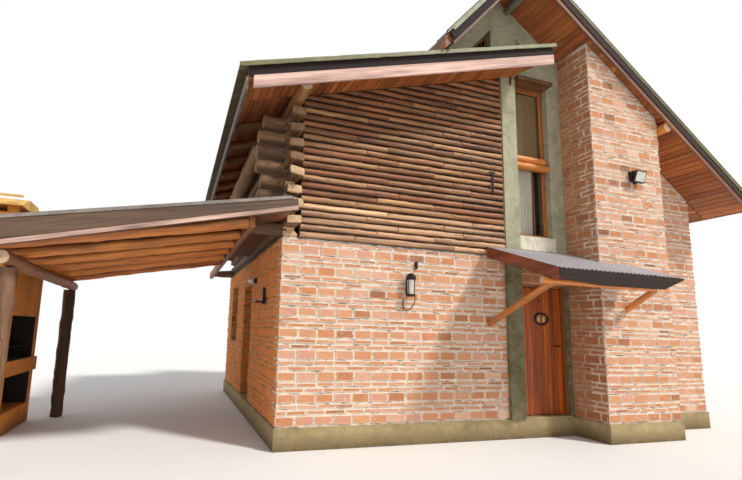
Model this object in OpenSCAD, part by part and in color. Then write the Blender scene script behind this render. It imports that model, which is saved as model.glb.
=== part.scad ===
/* [Plan] */
// Length of the front, from the left wall to the right wall
house_w = 7900; // [7700:20:8600]
// Depth of the house, from the front wall to the rear wall
house_d = 5700; // [5400:20:6600]
// Thickness of the brick walls
wall_t = 270; // [200:10:320]
// Height of the masonry plinth above the ground
plinth_h = 280; // [200:10:400]
// How far the plinth stands out from the brick walls
plinth_out = 30; // [10:5:60]
// Height of the top of the ground storey's brickwork
storey_top = 2760; // [2700:10:2900]
// Thickness of the upper floor
floor_t = 160; // [120:10:180]

/* [Left block] */
// Width of the log clad block, from the left wall to the column
block_w = 3600; // [3400:20:3800]
// Slope of the low roof in degrees
shed_pitch = 16.2; // [14:0.1:18]
// Vertical thickness of the low roof's deck
shed_deck_t = 170; // [140:5:200]
// Overhang of the low roof past the left wall
shed_side = 650; // [500:10:800]
// How far the low roof's sheet hangs past its side board
shed_lip = 120; // [60:10:150]
// Overhang of the low roof in front
shed_front = 600; // [450:10:680]
// Overhang of both roofs behind the house
rear_over = 350; // [250:10:500]
// Height of the low roof's pale front board
shed_board_h = 160; // [140:5:200]
// How far that board hangs below the deck's underside
shed_drop = 130; // [60:5:150]
// How far the low roof's right end slants back to the wall
shed_slant = 370; // [200:10:420]

/* [Log work] */
// Diameter of the half round poles on the front
pole_d = 96; // [80:1:110]
// Height from one pole to the next
pole_pitch = 100; // [98:1:120]
// Thickness of the boards behind the poles
backing_t = 150; // [100:10:180]
// Diameter of the logs in the upper left wall
log_d = 220; // [180:5:240]
// Number of full and half logs in the upper left wall, under its plate
log_rows = 9; // [8:1:10]
// Diameter of the plate log on the wall and of the log at the eave
plate_d = 180; // [150:5:200]
// Distance of the eave log from the left wall
eave_log_out = 165; // [155:5:200]
// Diameter of the log rafters over the eave log
eave_rafter_d = 130; // [110:5:140]
// Distance from one of these rafters to the next
eave_rafter_step = 730; // [600:10:800]
// Where the eave log starts, behind the front wall
eave_log_y = 1250; // [800:50:1600]
// How far the hewn ends of the wall logs run past the corners
log_end = 220; // [180:10:260]
// Height of the hewn ends
tongue_h = 130; // [110:5:150]
// How far the short cross logs run out past the left wall
stub_out = 400; // [330:10:430]

/* [Gable roof] */
// Distance of the ridge from the left wall
ridge_x = 3640; // [3500:10:3800]
// Height of the top of the ridge deck
ridge_top = 7480; // [7300:10:7700]
// Height of the ridge deck above the low roof's underside at the left wall
shed_under = 2730; // [2650:10:2800]
// Slope of the steep left side in degrees
left_pitch = 48.2; // [46:0.1:50]
// Slope of the long right side in degrees
right_pitch = 36.1; // [34:0.1:38]
// Vertical thickness of the gable roof's deck
deck_t = 190; // [150:5:220]
// Front overhang of the gable roof
rake_over = 720; // [700:10:800]
// Overhang past the right wall
eave_over = 450; // [300:10:550]
// Thickness of the metal roof sheets
sheet_t = 30; // [20:1:40]
// Height of the brown boards along the front rakes
rake_board_h = 260; // [220:10:300]
// Diameter of the ridge log
ridge_log_d = 130; // [110:5:150]
// Diameter of the purlin log right of the wing
purlin_d = 180; // [150:5:200]
// Width of the gable's post, left and right of the ridge
gable_post_l = 177; // [150:1:250]
gable_post_r = 339; // [300:1:400]
// Distance of the gable lights below the roof's decks
light_drop = 410; // [380:5:450]
// Height of the gable lights' lower edge above the low roof
light_sill = 118; // [100:2:150]
// Width of the right gable light
light_w = 160; // [140:5:200]

/* [Wing and column] */
// Width of the porch, from the column to the wing
porch_w = 1000; // [960:10:1060]
// Width of the wing
wing_w = 1470; // [1300:10:1600]
// How far the wing stands in front of the front wall
wing_out = 600; // [500:10:640]
// Width of the front column
column_w = 280; // [220:10:300]
// How far the column stands out from the wall
column_out = 60; // [30:5:90]

/* [Front door] */
// Width of the opening in the wall
door_gap_w = 930; // [900:10:940]
// Height of the opening above the plinth
door_gap_h = 2080; // [2000:10:2150]
// Width of each side of the door frame
frame_w = 44; // [36:2:50]
// Depth of the door frame
frame_t = 100; // [80:5:120]
// Distance of the door frame behind the wall's face
frame_set = 40; // [20:5:60]
// Thickness of the door leaf
leaf_t = 45; // [36:1:55]
// Gap round the door leaf
leaf_gap = 8; // [7:1:12]
// Height of the door sill
door_sill_h = 22; // [15:1:30]
// Radius of the hinge barrels
hinge_r = 6; // [5:0.5:6]
// Distance of the hinge line from the leaf's inner face
hinge_out = 7; // [7:0.5:9]
// Length of one hinge knuckle
knuckle_h = 40; // [30:1:50]

/* [Tall window] */
// Width of the tall window's opening
bay_w = 720; // [680:10:760]
// Height of the tall window's sill block
bay_sill_h = 230; // [180:10:260]
// Height of the underside of the sill block
bay_sill_z = 2900; // [2850:10:2950]
// Distance of the tall window's head below the low roof's line
bay_drop = 77; // [70:1:120]
// Thickness of the timber over the tall window
bay_head_t = 60; // [40:5:66]
// Width of a window frame's bars
bar_w = 50; // [40:2:60]
// Thickness of a window frame
bar_t = 60; // [40:2:80]
// Thickness of the glass
glass_t = 8; // [6:1:12]
// Height of the transom logs above the tall window's lower edge
transom_up = 1280; // [1200:10:1400]
// Diameter of a transom log
transom_d = 118; // [90:2:130]

/* [Canopy] */
// How far the canopy runs along the front of the left block
canopy_lap = 340; // [300:10:400]
// How far the canopy runs along the front of the wing
canopy_in = 600; // [500:10:700]
// How far the canopy reaches from the front wall
canopy_out = 1370; // [1200:10:1500]
// Height of the canopy's sheet at the wall
canopy_top = 2905; // [2860:10:2960]
// Slope of the canopy in degrees
canopy_pitch = 20.0; // [18:0.1:22]
// Distance from one corrugation to the next
wave_pitch = 76; // [70:1:90]
// Height of the corrugations
wave_h = 18; // [12:1:24]
// Diameter of the canopy's front log
canopy_log_d = 86; // [80:2:110]
// Distance of the front log from the canopy's front edge
canopy_log_set = 170; // [120:10:250]
// Height of the canopy's rafters, measured upright
canopy_rafter_h = 162; // [120:2:180]
// Diameter of the canopy's braces
brace_d = 96; // [80:2:110]

/* [Gallery] */
// Distance from the left wall to the middle of the posts
gallery_w = 3050; // [3000:10:3150]
// Distance of the front post in front of the front wall's line
post_front = 200; // [150:10:300]
// Distance of the rear post behind the front wall
post_rear = 2850; // [2700:10:3000]
// Diameter of the posts
post_d = 190; // [160:5:220]
// Diameter of the gallery's long beam
beam_d = 160; // [140:5:180]
// Diameter of the gallery's rafters
rafter_d = 155; // [140:5:160]
// Number of rafters
rafter_n = 6; // [5:1:8]
// Height of the gallery deck's underside at the left wall
gallery_top = 2985; // [2960:5:3000]
// Slope of the gallery roof in degrees
gallery_pitch = 10.6; // [8:0.1:12]
// Overhang of the gallery roof past the posts
gallery_eave = 250; // [150:10:280]
// Distance of the gallery roof's rear edge behind the front wall
gallery_rear = 3200; // [3180:10:3400]
// Overhang of the gallery roof in front of the house
gallery_front = 500; // [450:10:550]
// Thickness of the gallery roof's deck
gallery_deck_t = 150; // [120:10:160]
// Height of the gallery's front board at the middle
gallery_board_h = 220; // [200:5:240]
// Distance of the gallery's wall side beam from the left wall
ledger_out = 450; // [400:10:480]

/* [Gallery openings] */
// Distance of the gallery doorway behind the front wall
side_door_y = 2290; // [2200:10:2320]
// Width of the gallery doorway
side_door_w = 860; // [800:10:880]
// Height of the gallery doorway
side_door_h = 2050; // [1950:10:2100]
// Width of the side windows
side_win_w = 900; // [800:10:1000]
// Height of the side windows
side_win_h = 1200; // [1000:10:1300]
// Height of the side windows' lower edge
side_win_z = 1250; // [1150:10:1350]
// Distance of the gallery window behind the front wall
side_win_y = 4100; // [3900:10:4300]
// Height of the upper rear window's edge above the upper floor
rear_win_up = 900; // [800:10:1000]

/* [Barbecue] */
// Width of the barbecue along the gallery
grill_w = 1450; // [1300:10:1600]
// Depth of the barbecue
grill_d = 800; // [700:10:900]
// Height of the barbecue's body
grill_h = 2250; // [2000:10:2300]
// Distance of its near end behind the front wall
grill_y = 1150; // [1000:10:1300]
// Distance of its face from the middle of the posts
grill_gap = 350; // [300:10:400]
// Thickness of its walls
grill_t = 180; // [120:5:200]
// Height of the hearth's floor
hearth_z = 990; // [900:10:1050]
// Height of the hearth's opening
hearth_h = 620; // [550:10:700]
// Thickness of the shelf under the hearth
shelf_t = 200; // [150:10:230]
// Height of the wood store's floor
store_z = 300; // [200:10:350]
// Height of the top of the chimney
chimney_top = 3300; // [3200:10:3500]
// Outer width of the chimney along the gallery
chimney_w = 860; // [760:10:900]
// Outer depth of the chimney
chimney_d = 560; // [520:10:600]
// Height of the vents under the chimney's cap
vent_h = 90; // [60:10:120]
// Height of the chimney's cap
cap_h = 150; // [100:10:200]

/* [Lamps] */
// Distance of the wall lantern from the column
lantern_in = 1720; // [1500:10:1900]
// Height of the wall lantern's lower rim
lantern_z = 2040; // [1950:10:2100]
// Width of the wall lantern
lantern_w = 130; // [110:5:150]
// Height of the wall lantern
lantern_h = 340; // [300:10:380]
// Height of the wing lamp's middle
wing_lamp_z = 4150; // [4000:10:4300]
// Distance of the wing lamp from the wing's left face
wing_lamp_in = 830; // [700:10:900]

/* [Hidden] */
$fn = 24;
// Thin gap between round faces that meet
kiss = 0.3;
// Amount by which a cut runs past the solid it cuts
over = 20;
shed_rise = tan(shed_pitch);
left_rise = tan(left_pitch);
right_rise = tan(right_pitch);
block_top = ridge_top - shed_under;
column_x = block_w + column_w;
wing_x = column_x + porch_w;
wing_end = wing_x + wing_w;
pier_x = column_x + bay_w;
bay_z = bay_sill_z + bay_sill_h;
bay_top = block_top + shed_rise * column_x - bay_drop;
bay_h = bay_top - bay_z;
transom_z = bay_z + transom_up;
canopy_x = block_w - canopy_lap;
canopy_end = wing_x + canopy_in;
canopy_w = canopy_end - canopy_x;
// Right end of the low roof's front overhang
shed_end = column_x + 270;
door_head = plinth_h + door_gap_h;
rear_y = house_d - wall_t;
right_x = house_w - wall_t;
roof_rear = house_d + rear_over;
eave_x = house_w + eave_over;
canopy_rise = tan(canopy_pitch);
canopy_log_y = canopy_log_set - canopy_out;
// Distance of the canopy rafters' tops below the sheet's middle
canopy_seat = (wave_h / 2 + 5 + kiss) / cos(canopy_pitch);
canopy_log_z = canopy_top + canopy_rise * canopy_log_y - canopy_seat - canopy_rafter_h
    - (kiss + canopy_log_d / 2) / cos(canopy_pitch);
gallery_rise = tan(gallery_pitch);
gallery_end = gallery_w + gallery_eave;
// Heights of the gallery's beam and of the ledger under its rafters
gallery_beam_z = gallery_top - gallery_rise * gallery_w
    - (rafter_d + beam_d / 2 + 2 * kiss) / cos(gallery_pitch);
ledger_t = 80;
ledger_z = gallery_top - gallery_rise * (ledger_out + ledger_t) - rafter_d + 12;
grill_x = -gallery_w - grill_gap;
leaf_x = column_x + frame_w + leaf_gap;
leaf_w = door_gap_w - 2 * frame_w - 2 * leaf_gap;
leaf_y = frame_set + frame_t;
leaf_z = plinth_h + door_sill_h + leaf_gap;
leaf_h = door_gap_h - door_sill_h - frame_w - 2 * leaf_gap;
hinge_x = leaf_x - leaf_gap / 2;
hinge_y = leaf_y + hinge_out;
hinge_zs = [leaf_z + 0.1 * leaf_h, leaf_z + 0.5 * leaf_h, leaf_z + 0.86 * leaf_h];
plate_z = block_top + shed_rise * log_d / 2 - plate_d / 2 / cos(shed_pitch) - kiss;
log_pitch = (plate_z - plate_d / 2 - kiss - storey_top) / (log_rows - 0.5);
// The eave log lies between the highest cross log at the rear and the rafters
eave_log_low = storey_top + (log_rows - 2) * log_pitch;
eave_log_high = block_top - shed_rise * eave_log_out - (eave_rafter_d + kiss) / cos(shed_pitch);
eave_log_d = 2 * (eave_log_high - eave_log_low - 2 * kiss) / (1 + 1 / cos(shed_pitch));

// Height of the low roof's underside, and of the gable roof's two sides
function shed_z(x) = block_top + shed_rise * x;
function left_z(x) = ridge_top - deck_t - left_rise * (ridge_x - x);
function right_z(x) = ridge_top - deck_t - right_rise * (x - ridge_x);
function roof_z(x) = min(left_z(x), right_z(x));
// Where the underside of the steep side meets the low roof's top
meet_x = (ridge_top - left_rise * ridge_x - deck_t - block_top - shed_deck_t - sheet_t)
    / (shed_rise - left_rise);
right_light_z = shed_z(ridge_x + gable_post_r) + shed_deck_t + 200;
function canopy_z(y) = canopy_top + canopy_rise * y;
function gallery_z(x) = gallery_top + gallery_rise * x;
// Where the gable lights' sloping and lower edges meet, and their outlines drawn in by s
low_light_z = shed_deck_t + sheet_t + light_sill;
function light_x(s) = meet_x + (light_drop + light_sill + s / cos(left_pitch) + s / cos(shed_pitch))
    / (left_rise - shed_rise);
function left_light(s) = [[light_x(s), shed_z(light_x(s)) + low_light_z + s / cos(shed_pitch)],
    [ridge_x - gable_post_l - s, shed_z(ridge_x - gable_post_l - s) + low_light_z + s / cos(shed_pitch)],
    [ridge_x - gable_post_l - s, left_z(ridge_x - gable_post_l - s) - light_drop - s / cos(left_pitch)]];
function right_light(s) = [[ridge_x + gable_post_r + s, right_light_z + s],
    [ridge_x + gable_post_r + light_w - s, right_light_z + s],
    [ridge_x + gable_post_r + light_w - s,
    right_z(ridge_x + gable_post_r + light_w - s) - light_drop - s / cos(right_pitch)],
    [ridge_x + gable_post_r + s, right_z(ridge_x + gable_post_r + s) - light_drop - s / cos(right_pitch)]];

// Moves the house so that the middle of its ground plan is at the origin
module place() {
    translate([-house_w / 2, -house_d / 2, 0]) children();
}

// Outline in X and Z, drawn from one Y to another
module along_y(y0, y1, points) {
    translate([0, y1, 0]) rotate([90, 0, 0]) linear_extrude(y1 - y0) polygon(points);
}

// Outline in Y and Z, drawn from one X to another
module along_x(x0, x1, points) {
    translate([x0, 0, 0]) rotate([90, 0, 90]) linear_extrude(x1 - x0) polygon(points);
}

// Block between two corners
module block(low, high) {
    translate(low) cube(high - low);
}

// Round log between two points
module log_between(a, b, d) {
    v = b - a;
    l = norm(v);
    translate(a) rotate([0, acos(v[2] / l), atan2(v[1], v[0])]) cylinder(d = d, h = l);
}

module footprint(grow) {
    polygon([[-grow, -grow], [wing_x - grow, -grow], [wing_x - grow, -wing_out - grow],
        [wing_end + grow, -wing_out - grow], [wing_end + grow, -grow], [house_w + grow, -grow],
        [house_w + grow, house_d + grow], [-grow, house_d + grow]]);
}

module plinth() {
    color("#8f8a60") place() difference() {
        linear_extrude(plinth_h) footprint(plinth_out);
        translate([0, 0, -over]) linear_extrude(plinth_h + 2 * over) footprint(-wall_t);
    }
}

module ground_floor() {
    color("#9b7a5c") place() linear_extrude(plinth_h) footprint(-wall_t);
}

module upper_floor() {
    color("#a5703c") place() translate([0, 0, storey_top - floor_t])
        linear_extrude(floor_t) polygon([[wall_t, wall_t], [right_x, wall_t], [right_x, rear_y],
        [wall_t, rear_y]]);
}

module front_wall() {
    color("#c98a66") place() block([0, 0, plinth_h], [block_w, wall_t, storey_top]);
}

module left_wall_near() {
    color("#c98a66") place() block([0, wall_t, plinth_h], [wall_t, side_door_y, storey_top]);
}

module left_wall_far() {
    color("#c98a66") place() difference() {
        block([0, side_door_y + side_door_w, plinth_h], [wall_t, rear_y, storey_top]);
        block([-over, side_win_y, side_win_z],
            [wall_t + over, side_win_y + side_win_w, side_win_z + side_win_h]);
    }
}

module left_wall_lintel() {
    color("#c98a66") place() block([0, side_door_y, plinth_h + side_door_h],
        [wall_t, side_door_y + side_door_w, storey_top]);
}

// Middles of the rear wall's two lower windows
rear_win_x = [house_w * 0.28, house_w * 0.72];
// Middle of the right wall's window
right_win_y = house_d / 2;

module rear_wall() {
    color("#c98a66") place() difference() {
        block([0, rear_y, plinth_h], [house_w, house_d, storey_top]);
        for (x = rear_win_x)
            block([x - side_win_w / 2, rear_y - over, side_win_z],
                [x + side_win_w / 2, house_d + over, side_win_z + side_win_h]);
    }
}

module right_wall() {
    color("#c98a66") place() difference() {
        along_y(wall_t, rear_y, [[right_x, plinth_h], [house_w, plinth_h],
            [house_w, right_z(house_w) - kiss], [right_x, right_z(right_x) - kiss]]);
        block([right_x - over, right_win_y - side_win_w / 2, side_win_z],
            [house_w + over, right_win_y + side_win_w / 2, side_win_z + side_win_h]);
    }
}

module right_front_wall() {
    color("#c98a66") place() along_y(0, wall_t, [[wing_end, plinth_h], [house_w, plinth_h],
        [house_w, right_z(house_w) - kiss], [wing_end, right_z(wing_end) - kiss]]);
}

module wing_left_wall() {
    color("#c98a66") place() along_y(wall_t - wing_out, wall_t, [[wing_x, plinth_h],
        [wing_x + wall_t, plinth_h], [wing_x + wall_t, right_z(wing_x + wall_t) - kiss],
        [wing_x, right_z(wing_x) - kiss]]);
}

module wing_front_wall() {
    color("#c98a66") place() along_y(-wing_out, wall_t - wing_out, [[wing_x, plinth_h],
        [wing_end, plinth_h], [wing_end, right_z(wing_end) - kiss], [wing_x, right_z(wing_x) - kiss]]);
}

module wing_right_wall() {
    color("#c98a66") place() along_y(wall_t - wing_out, wall_t, [[wing_end - wall_t, plinth_h],
        [wing_end, plinth_h], [wing_end, right_z(wing_end) - kiss],
        [wing_end - wall_t, right_z(wing_end - wall_t) - kiss]]);
}

module door_pier() {
    color("#c98a66") place() block([column_x + door_gap_w, 0, plinth_h],
        [wing_x, wall_t, door_head]);
}

module door_lintel() {
    color("#c98a66") place() block([column_x, 0, door_head], [wing_x, wall_t, bay_sill_z]);
}

module front_column() {
    color("#8e8f6c") place() along_y(-column_out, wall_t, [[block_w, plinth_h],
        [column_x, plinth_h], [column_x, shed_z(column_x) - kiss], [block_w, shed_z(block_w) - kiss]]);
}

module window_sill() {
    color("#d8cdb4") place() block([column_x, -column_out, bay_sill_z], [pier_x, wall_t, bay_z]);
}

module window_pier() {
    color("#8e8f6c") place() along_y(0, wall_t, [[pier_x, bay_sill_z], [wing_x, bay_sill_z],
        [wing_x, right_z(wing_x) - kiss], [pier_x, right_z(pier_x) - kiss]]);
}

// The framed gable over the low roof, with a triangular light on each side of its post
module front_gable() {
    head_z = bay_top + bay_head_t;
    color("#9a9c7c") place() difference() {
        along_y(0, wall_t, [[meet_x, shed_z(meet_x)], [column_x, shed_z(column_x)],
            [column_x, head_z], [pier_x, head_z], [pier_x, right_z(pier_x) - kiss],
            [ridge_x, right_z(ridge_x) - kiss], [meet_x, left_z(meet_x) - kiss]]);
        along_y(-over, wall_t + over, left_light(0));
        along_y(-over, wall_t + over, right_light(0));
    }
}

module wall_backing() {
    color("#7a4a2a") place() along_y(0, backing_t, [[log_d, storey_top], [block_w, storey_top],
        [block_w, shed_z(block_w) - kiss], [log_d, shed_z(log_d) - kiss]]);
}

// Half round poles with staggered butt joints, each row cut off under the sloping roof
module wall_poles() {
    rows = floor((shed_z(block_w) - storey_top) / pole_pitch);
    joint_gap = 6;
    color("#9c5a32") place() for (i = [0 : rows - 1]) {
        z = storey_top + pole_pitch * (i + 0.5);
        low_x = max(log_d + joint_gap, (z + pole_d / 2 - block_top) / shed_rise + joint_gap);
        run = block_w - low_x;
        cuts = run > 2300 ? [low_x, low_x + run * (0.24 + 0.05 * ((i * 7) % 5)),
            low_x + run * (0.62 + 0.05 * ((i * 3 + 2) % 5)), block_w + joint_gap]
            : run > 1000 ? [low_x, low_x + run * (0.34 + 0.08 * ((i * 7) % 5)), block_w + joint_gap]
            : [low_x, block_w + joint_gap];
        for (k = [0 : len(cuts) - 2])
            half_pole(cuts[k], cuts[k + 1] - joint_gap - kiss, z, pole_d - 2 * ((i * 5 + k * 3) % 4));
    }
}

// One half round pole with its flat side against the boards
module half_pole(x0, x1, z, d) {
    intersection() {
        translate([x0, 0, z]) rotate([0, 90, 0]) cylinder(d = d, h = x1 - x0);
        block([x0 - over, -d, z - d], [x1 + over, 0, z + d]);
    }
}

module left_log_wall() {
    color("#6f4326") place() {
        for (k = [0 : log_rows - 1]) wall_log(k);
        gallery_stub(0);
        gallery_stub(house_d - log_d);
        for (k = [2 : log_rows - 2]) cross_stub(k, 0);
        for (k = [2 : log_rows - 3]) cross_stub(k, house_d - log_d);
    }
}

// One log along the left wall, with a hewn tongue at each end and flat beds above and below
module wall_log(k) {
    z = storey_top + log_pitch * k;
    reach = log_end + (k % 2 == 0 ? 20 : -20);
    low = k == 0 ? 0 : -log_pitch / 2;
    intersection() {
        translate([log_d / 2, -reach, z]) rotate([-90, 0, 0]) cylinder(d = log_d, h = house_d + 2 * reach);
        union() {
            block([-over, 0, z + low], [log_d + over, house_d, z + log_pitch / 2]);
            if (k > 0) block([-over, -2 * reach, z - tongue_h / 2],
                [log_d + over, house_d + 2 * reach, z + tongue_h / 2]);
        }
    }
}

// A short log across the corner, fitted into the groove between wall logs k and k + 1
module cross_stub(k, y) {
    z = storey_top + log_pitch * (k + 0.5);
    difference() {
        intersection() {
            translate([-stub_out, y + log_d / 2, z]) rotate([0, 90, 0])
                cylinder(d = log_d, h = stub_out + log_d / 4);
            block([-2 * stub_out, y, z - log_pitch / 2 + kiss],
                [log_d, y + log_d, z + log_pitch / 2 - kiss]);
        }
        for (n = [k, k + 1]) translate([log_d / 2, y - over, storey_top + log_pitch * n])
            rotate([-90, 0, 0]) cylinder(d = log_d + 2 * kiss, h = log_d + 2 * over);
    }
}

// The lowest cross log, which carries the gallery's wall side beam
module gallery_stub(y) {
    z = storey_top + log_pitch / 2;
    far = -ledger_out - ledger_t;
    difference() {
        intersection() {
            translate([far, y + log_d / 2, z]) rotate([0, 90, 0]) cylinder(d = log_d, h = log_d / 4 - far);
            block([far, y, storey_top + kiss], [log_d, y + log_d, z + log_pitch / 2 - kiss]);
            along_y(y, y + log_d, [[far, storey_top], [log_d, storey_top],
                [log_d, gallery_z(0) + log_d], [-kiss, gallery_z(0) + log_d], [-kiss, gallery_z(0) - kiss],
                [far, gallery_z(far) - kiss]]);
        }
        for (n = [0, 1]) translate([log_d / 2, y - over, storey_top + log_pitch * n])
            rotate([-90, 0, 0]) cylinder(d = log_d + 2 * kiss, h = log_d + 2 * over);
        block([far - over, y - over, 0], [-ledger_out + kiss, y + log_d + over, storey_top + house_d]);
    }
}

module rear_upper_wall() {
    color("#c98a66") place() difference() {
        along_y(rear_y, house_d, [[log_d, storey_top], [house_w, storey_top],
            [house_w, right_z(house_w) - kiss], [ridge_x, right_z(ridge_x) - kiss],
            [meet_x, left_z(meet_x) - kiss], [meet_x, shed_z(meet_x) - kiss],
            [log_d, shed_z(log_d) - kiss]]);
        block([ridge_x - side_win_w / 2, rear_y - over, storey_top + rear_win_up],
            [ridge_x + side_win_w / 2, house_d + over, storey_top + rear_win_up + side_win_h]);
    }
}

module shed_deck() {
    side_x = -shed_side;
    color("#8a5a34") place() {
        along_y(0, roof_rear, [[side_x, shed_z(side_x)], [meet_x, shed_z(meet_x)],
            [meet_x, shed_z(meet_x) + shed_deck_t], [side_x, shed_z(side_x) + shed_deck_t]]);
        intersection() {
            along_y(-shed_front, 0, [[side_x, shed_z(side_x)], [shed_end, shed_z(shed_end)],
                [shed_end, shed_z(shed_end) + shed_deck_t], [side_x, shed_z(side_x) + shed_deck_t]]);
            slant_cut(0);
        }
    }
}

// Room left of the slanting right end of the low roof's front overhang, moved out by a distance
module slant_cut(out) {
    back = shed_end - shed_slant + out;
    far = 2 * shed_front;
    linear_extrude(2 * block_top) polygon([[-house_w, -far], [back + far * shed_slant / shed_front, -far],
        [back, 0], [-house_w, 0]]);
}

module shed_sheet() {
    lip = 60;
    side_x = -shed_side - shed_lip;
    color("#6a6440") place() {
        along_y(0, roof_rear + lip, [[side_x, shed_z(side_x) + shed_deck_t + kiss],
            [meet_x, shed_z(meet_x) + shed_deck_t + kiss],
            [meet_x, shed_z(meet_x) + shed_deck_t + sheet_t],
            [side_x, shed_z(side_x) + shed_deck_t + sheet_t]]);
        intersection() {
            along_y(-shed_front - lip, 0, [[side_x, shed_z(side_x) + shed_deck_t + kiss],
                [house_w, shed_z(house_w) + shed_deck_t + kiss],
                [house_w, shed_z(house_w) + shed_deck_t + sheet_t],
                [side_x, shed_z(side_x) + shed_deck_t + sheet_t]]);
            slant_cut(0);
        }
    }
}

module shed_boards() {
    board_t = 30;
    front_x = -shed_side + 60;
    color("#d9b7a4") place() {
        along_y(-shed_front - board_t, -shed_front, [
            [front_x, shed_z(front_x) - shed_drop], [shed_end, shed_z(shed_end) - shed_drop],
            [shed_end, shed_z(shed_end) - shed_drop + shed_board_h],
            [front_x, shed_z(front_x) - shed_drop + shed_board_h]]);
        block([-shed_side - board_t, -shed_front, shed_z(-shed_side) - shed_drop],
            [-shed_side, roof_rear, shed_z(-shed_side) - shed_drop + shed_board_h]);
    }
}

// Logs under the low roof, on the left wall's top and out near the eave
module shed_plate_logs() {
    color("#8a5a34") place() {
        translate([log_d / 2, 60 - shed_front, plate_z]) rotate([-90, 0, 0])
            cylinder(d = plate_d, h = roof_rear + shed_front - 120);
        translate([-eave_log_out, eave_log_y, eave_log_low + kiss + eave_log_d / 2]) rotate([-90, 0, 0])
            cylinder(d = eave_log_d, h = roof_rear - 60 - eave_log_y);
    }
}

// Short log rafters under the low roof, out from the left wall to the eave
module eave_rafters() {
    first_y = 700;
    count = floor((roof_rear - first_y - eave_rafter_d) / eave_rafter_step) + 1;
    drop = (eave_rafter_d / 2 + kiss) / cos(shed_pitch);
    inner = -45;
    outer = 30 - shed_side;
    color("#9a6a3c") place() for (i = [0 : count - 1])
        log_between([outer, first_y + i * eave_rafter_step, shed_z(outer) - drop],
            [inner, first_y + i * eave_rafter_step, shed_z(inner) - drop], eave_rafter_d);
}

module gable_deck_left() {
    color("#8a5a34") place() along_y(-rake_over, roof_rear, [[meet_x, left_z(meet_x)],
        [ridge_x, left_z(ridge_x)], [ridge_x, left_z(ridge_x) + deck_t],
        [meet_x, left_z(meet_x) + deck_t]]);
}

module gable_deck_right() {
    color("#a85a2a") place() along_y(-rake_over, roof_rear, [[ridge_x, right_z(ridge_x)],
        [eave_x, right_z(eave_x)], [eave_x, right_z(eave_x) + deck_t],
        [ridge_x, right_z(ridge_x) + deck_t]]);
}

module gable_sheet_left() {
    lip = 60;
    color("#4e4a38") place() along_y(-rake_over - lip, roof_rear + lip, [
        [meet_x, left_z(meet_x) + deck_t], [ridge_x, left_z(ridge_x) + deck_t],
        [ridge_x, left_z(ridge_x) + deck_t + sheet_t],
        [meet_x, left_z(meet_x) + deck_t + sheet_t]]);
}

module gable_sheet_right() {
    lip = 60;
    color("#4e4a38") place() along_y(-rake_over - lip, roof_rear + lip, [
        [ridge_x, right_z(ridge_x) + deck_t], [eave_x + lip, right_z(eave_x + lip) + deck_t],
        [eave_x + lip, right_z(eave_x + lip) + deck_t + sheet_t],
        [ridge_x, right_z(ridge_x) + deck_t + sheet_t]]);
}

module rake_boards() {
    board_t = 30;
    foot_x = meet_x + 120;
    color("#8a5a48") place() along_y(-rake_over - board_t, -rake_over, [
        [foot_x, left_z(foot_x) + deck_t], [foot_x, left_z(foot_x) + deck_t - rake_board_h],
        [ridge_x, left_z(ridge_x) + deck_t - rake_board_h],
        [eave_x, right_z(eave_x) + deck_t - rake_board_h], [eave_x, right_z(eave_x) + deck_t],
        [ridge_x, right_z(ridge_x) + deck_t]]);
}

module ridge_log() {
    side = ridge_x + 160;
    purlin_x = wing_end + purlin_d / 2 + 20;
    color("#5a3a22") place() {
        translate([side, -rake_over, right_z(side) - (ridge_log_d / 2 + kiss) / cos(right_pitch)])
            rotate([-90, 0, 0]) cylinder(d = ridge_log_d, h = rake_over);
        translate([purlin_x, -rake_over, right_z(purlin_x) - (purlin_d / 2 + kiss) / cos(right_pitch)])
            rotate([-90, 0, 0]) cylinder(d = purlin_d, h = rake_over);
    }
}

// Room taken by the wall, the column and the wing where the canopy meets them
module canopy_back(left_out) {
    block([0, -kiss, 0], [house_w, wall_t, house_d]);
    block([0, -left_out - kiss, 0], [block_w, wall_t, house_d]);
    block([block_w - kiss, -column_out - kiss, 0], [pier_x + kiss, wall_t, house_d]);
    block([wing_x - kiss, -wing_out - kiss, 0], [wing_end, wall_t, house_d]);
}

module canopy_sheet() {
    waves = floor(canopy_w / wave_pitch);
    steel_t = 5;
    side = [for (i = [0 : 8 * waves]) [i * wave_pitch / 8, wave_h / 2 * sin(i * 45)]];
    color("#8e9092") place() difference() {
        translate([canopy_x, 0, canopy_top]) rotate([90 + canopy_pitch, 0, 0])
            linear_extrude(canopy_out / cos(canopy_pitch))
            polygon(concat(side, [for (i = [8 * waves : -1 : 0]) side[i] - [0, steel_t]]));
        canopy_back(pole_d / 2);
    }
}

module canopy_boards() {
    board_t = 25;
    board_h = 160;
    back_y = -pole_d / 2 - kiss;
    front_z = canopy_z(-canopy_out) - canopy_seat - 2;
    color("#7a3a24") place() {
        along_x(canopy_x - board_t, canopy_x, [
            [-canopy_out, canopy_z(-canopy_out) - board_h], [back_y, canopy_z(back_y) - board_h],
            [back_y, canopy_z(back_y)], [-canopy_out, canopy_z(-canopy_out)]]);
        along_y(-canopy_out - board_t, -canopy_out, [[canopy_x - board_t, front_z],
            [canopy_x - board_t, front_z - 135], [canopy_x + 690, front_z - 186],
            [wing_x + 200, front_z - 176], [canopy_end, front_z - 20], [canopy_end, front_z]]);
    }
}

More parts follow.
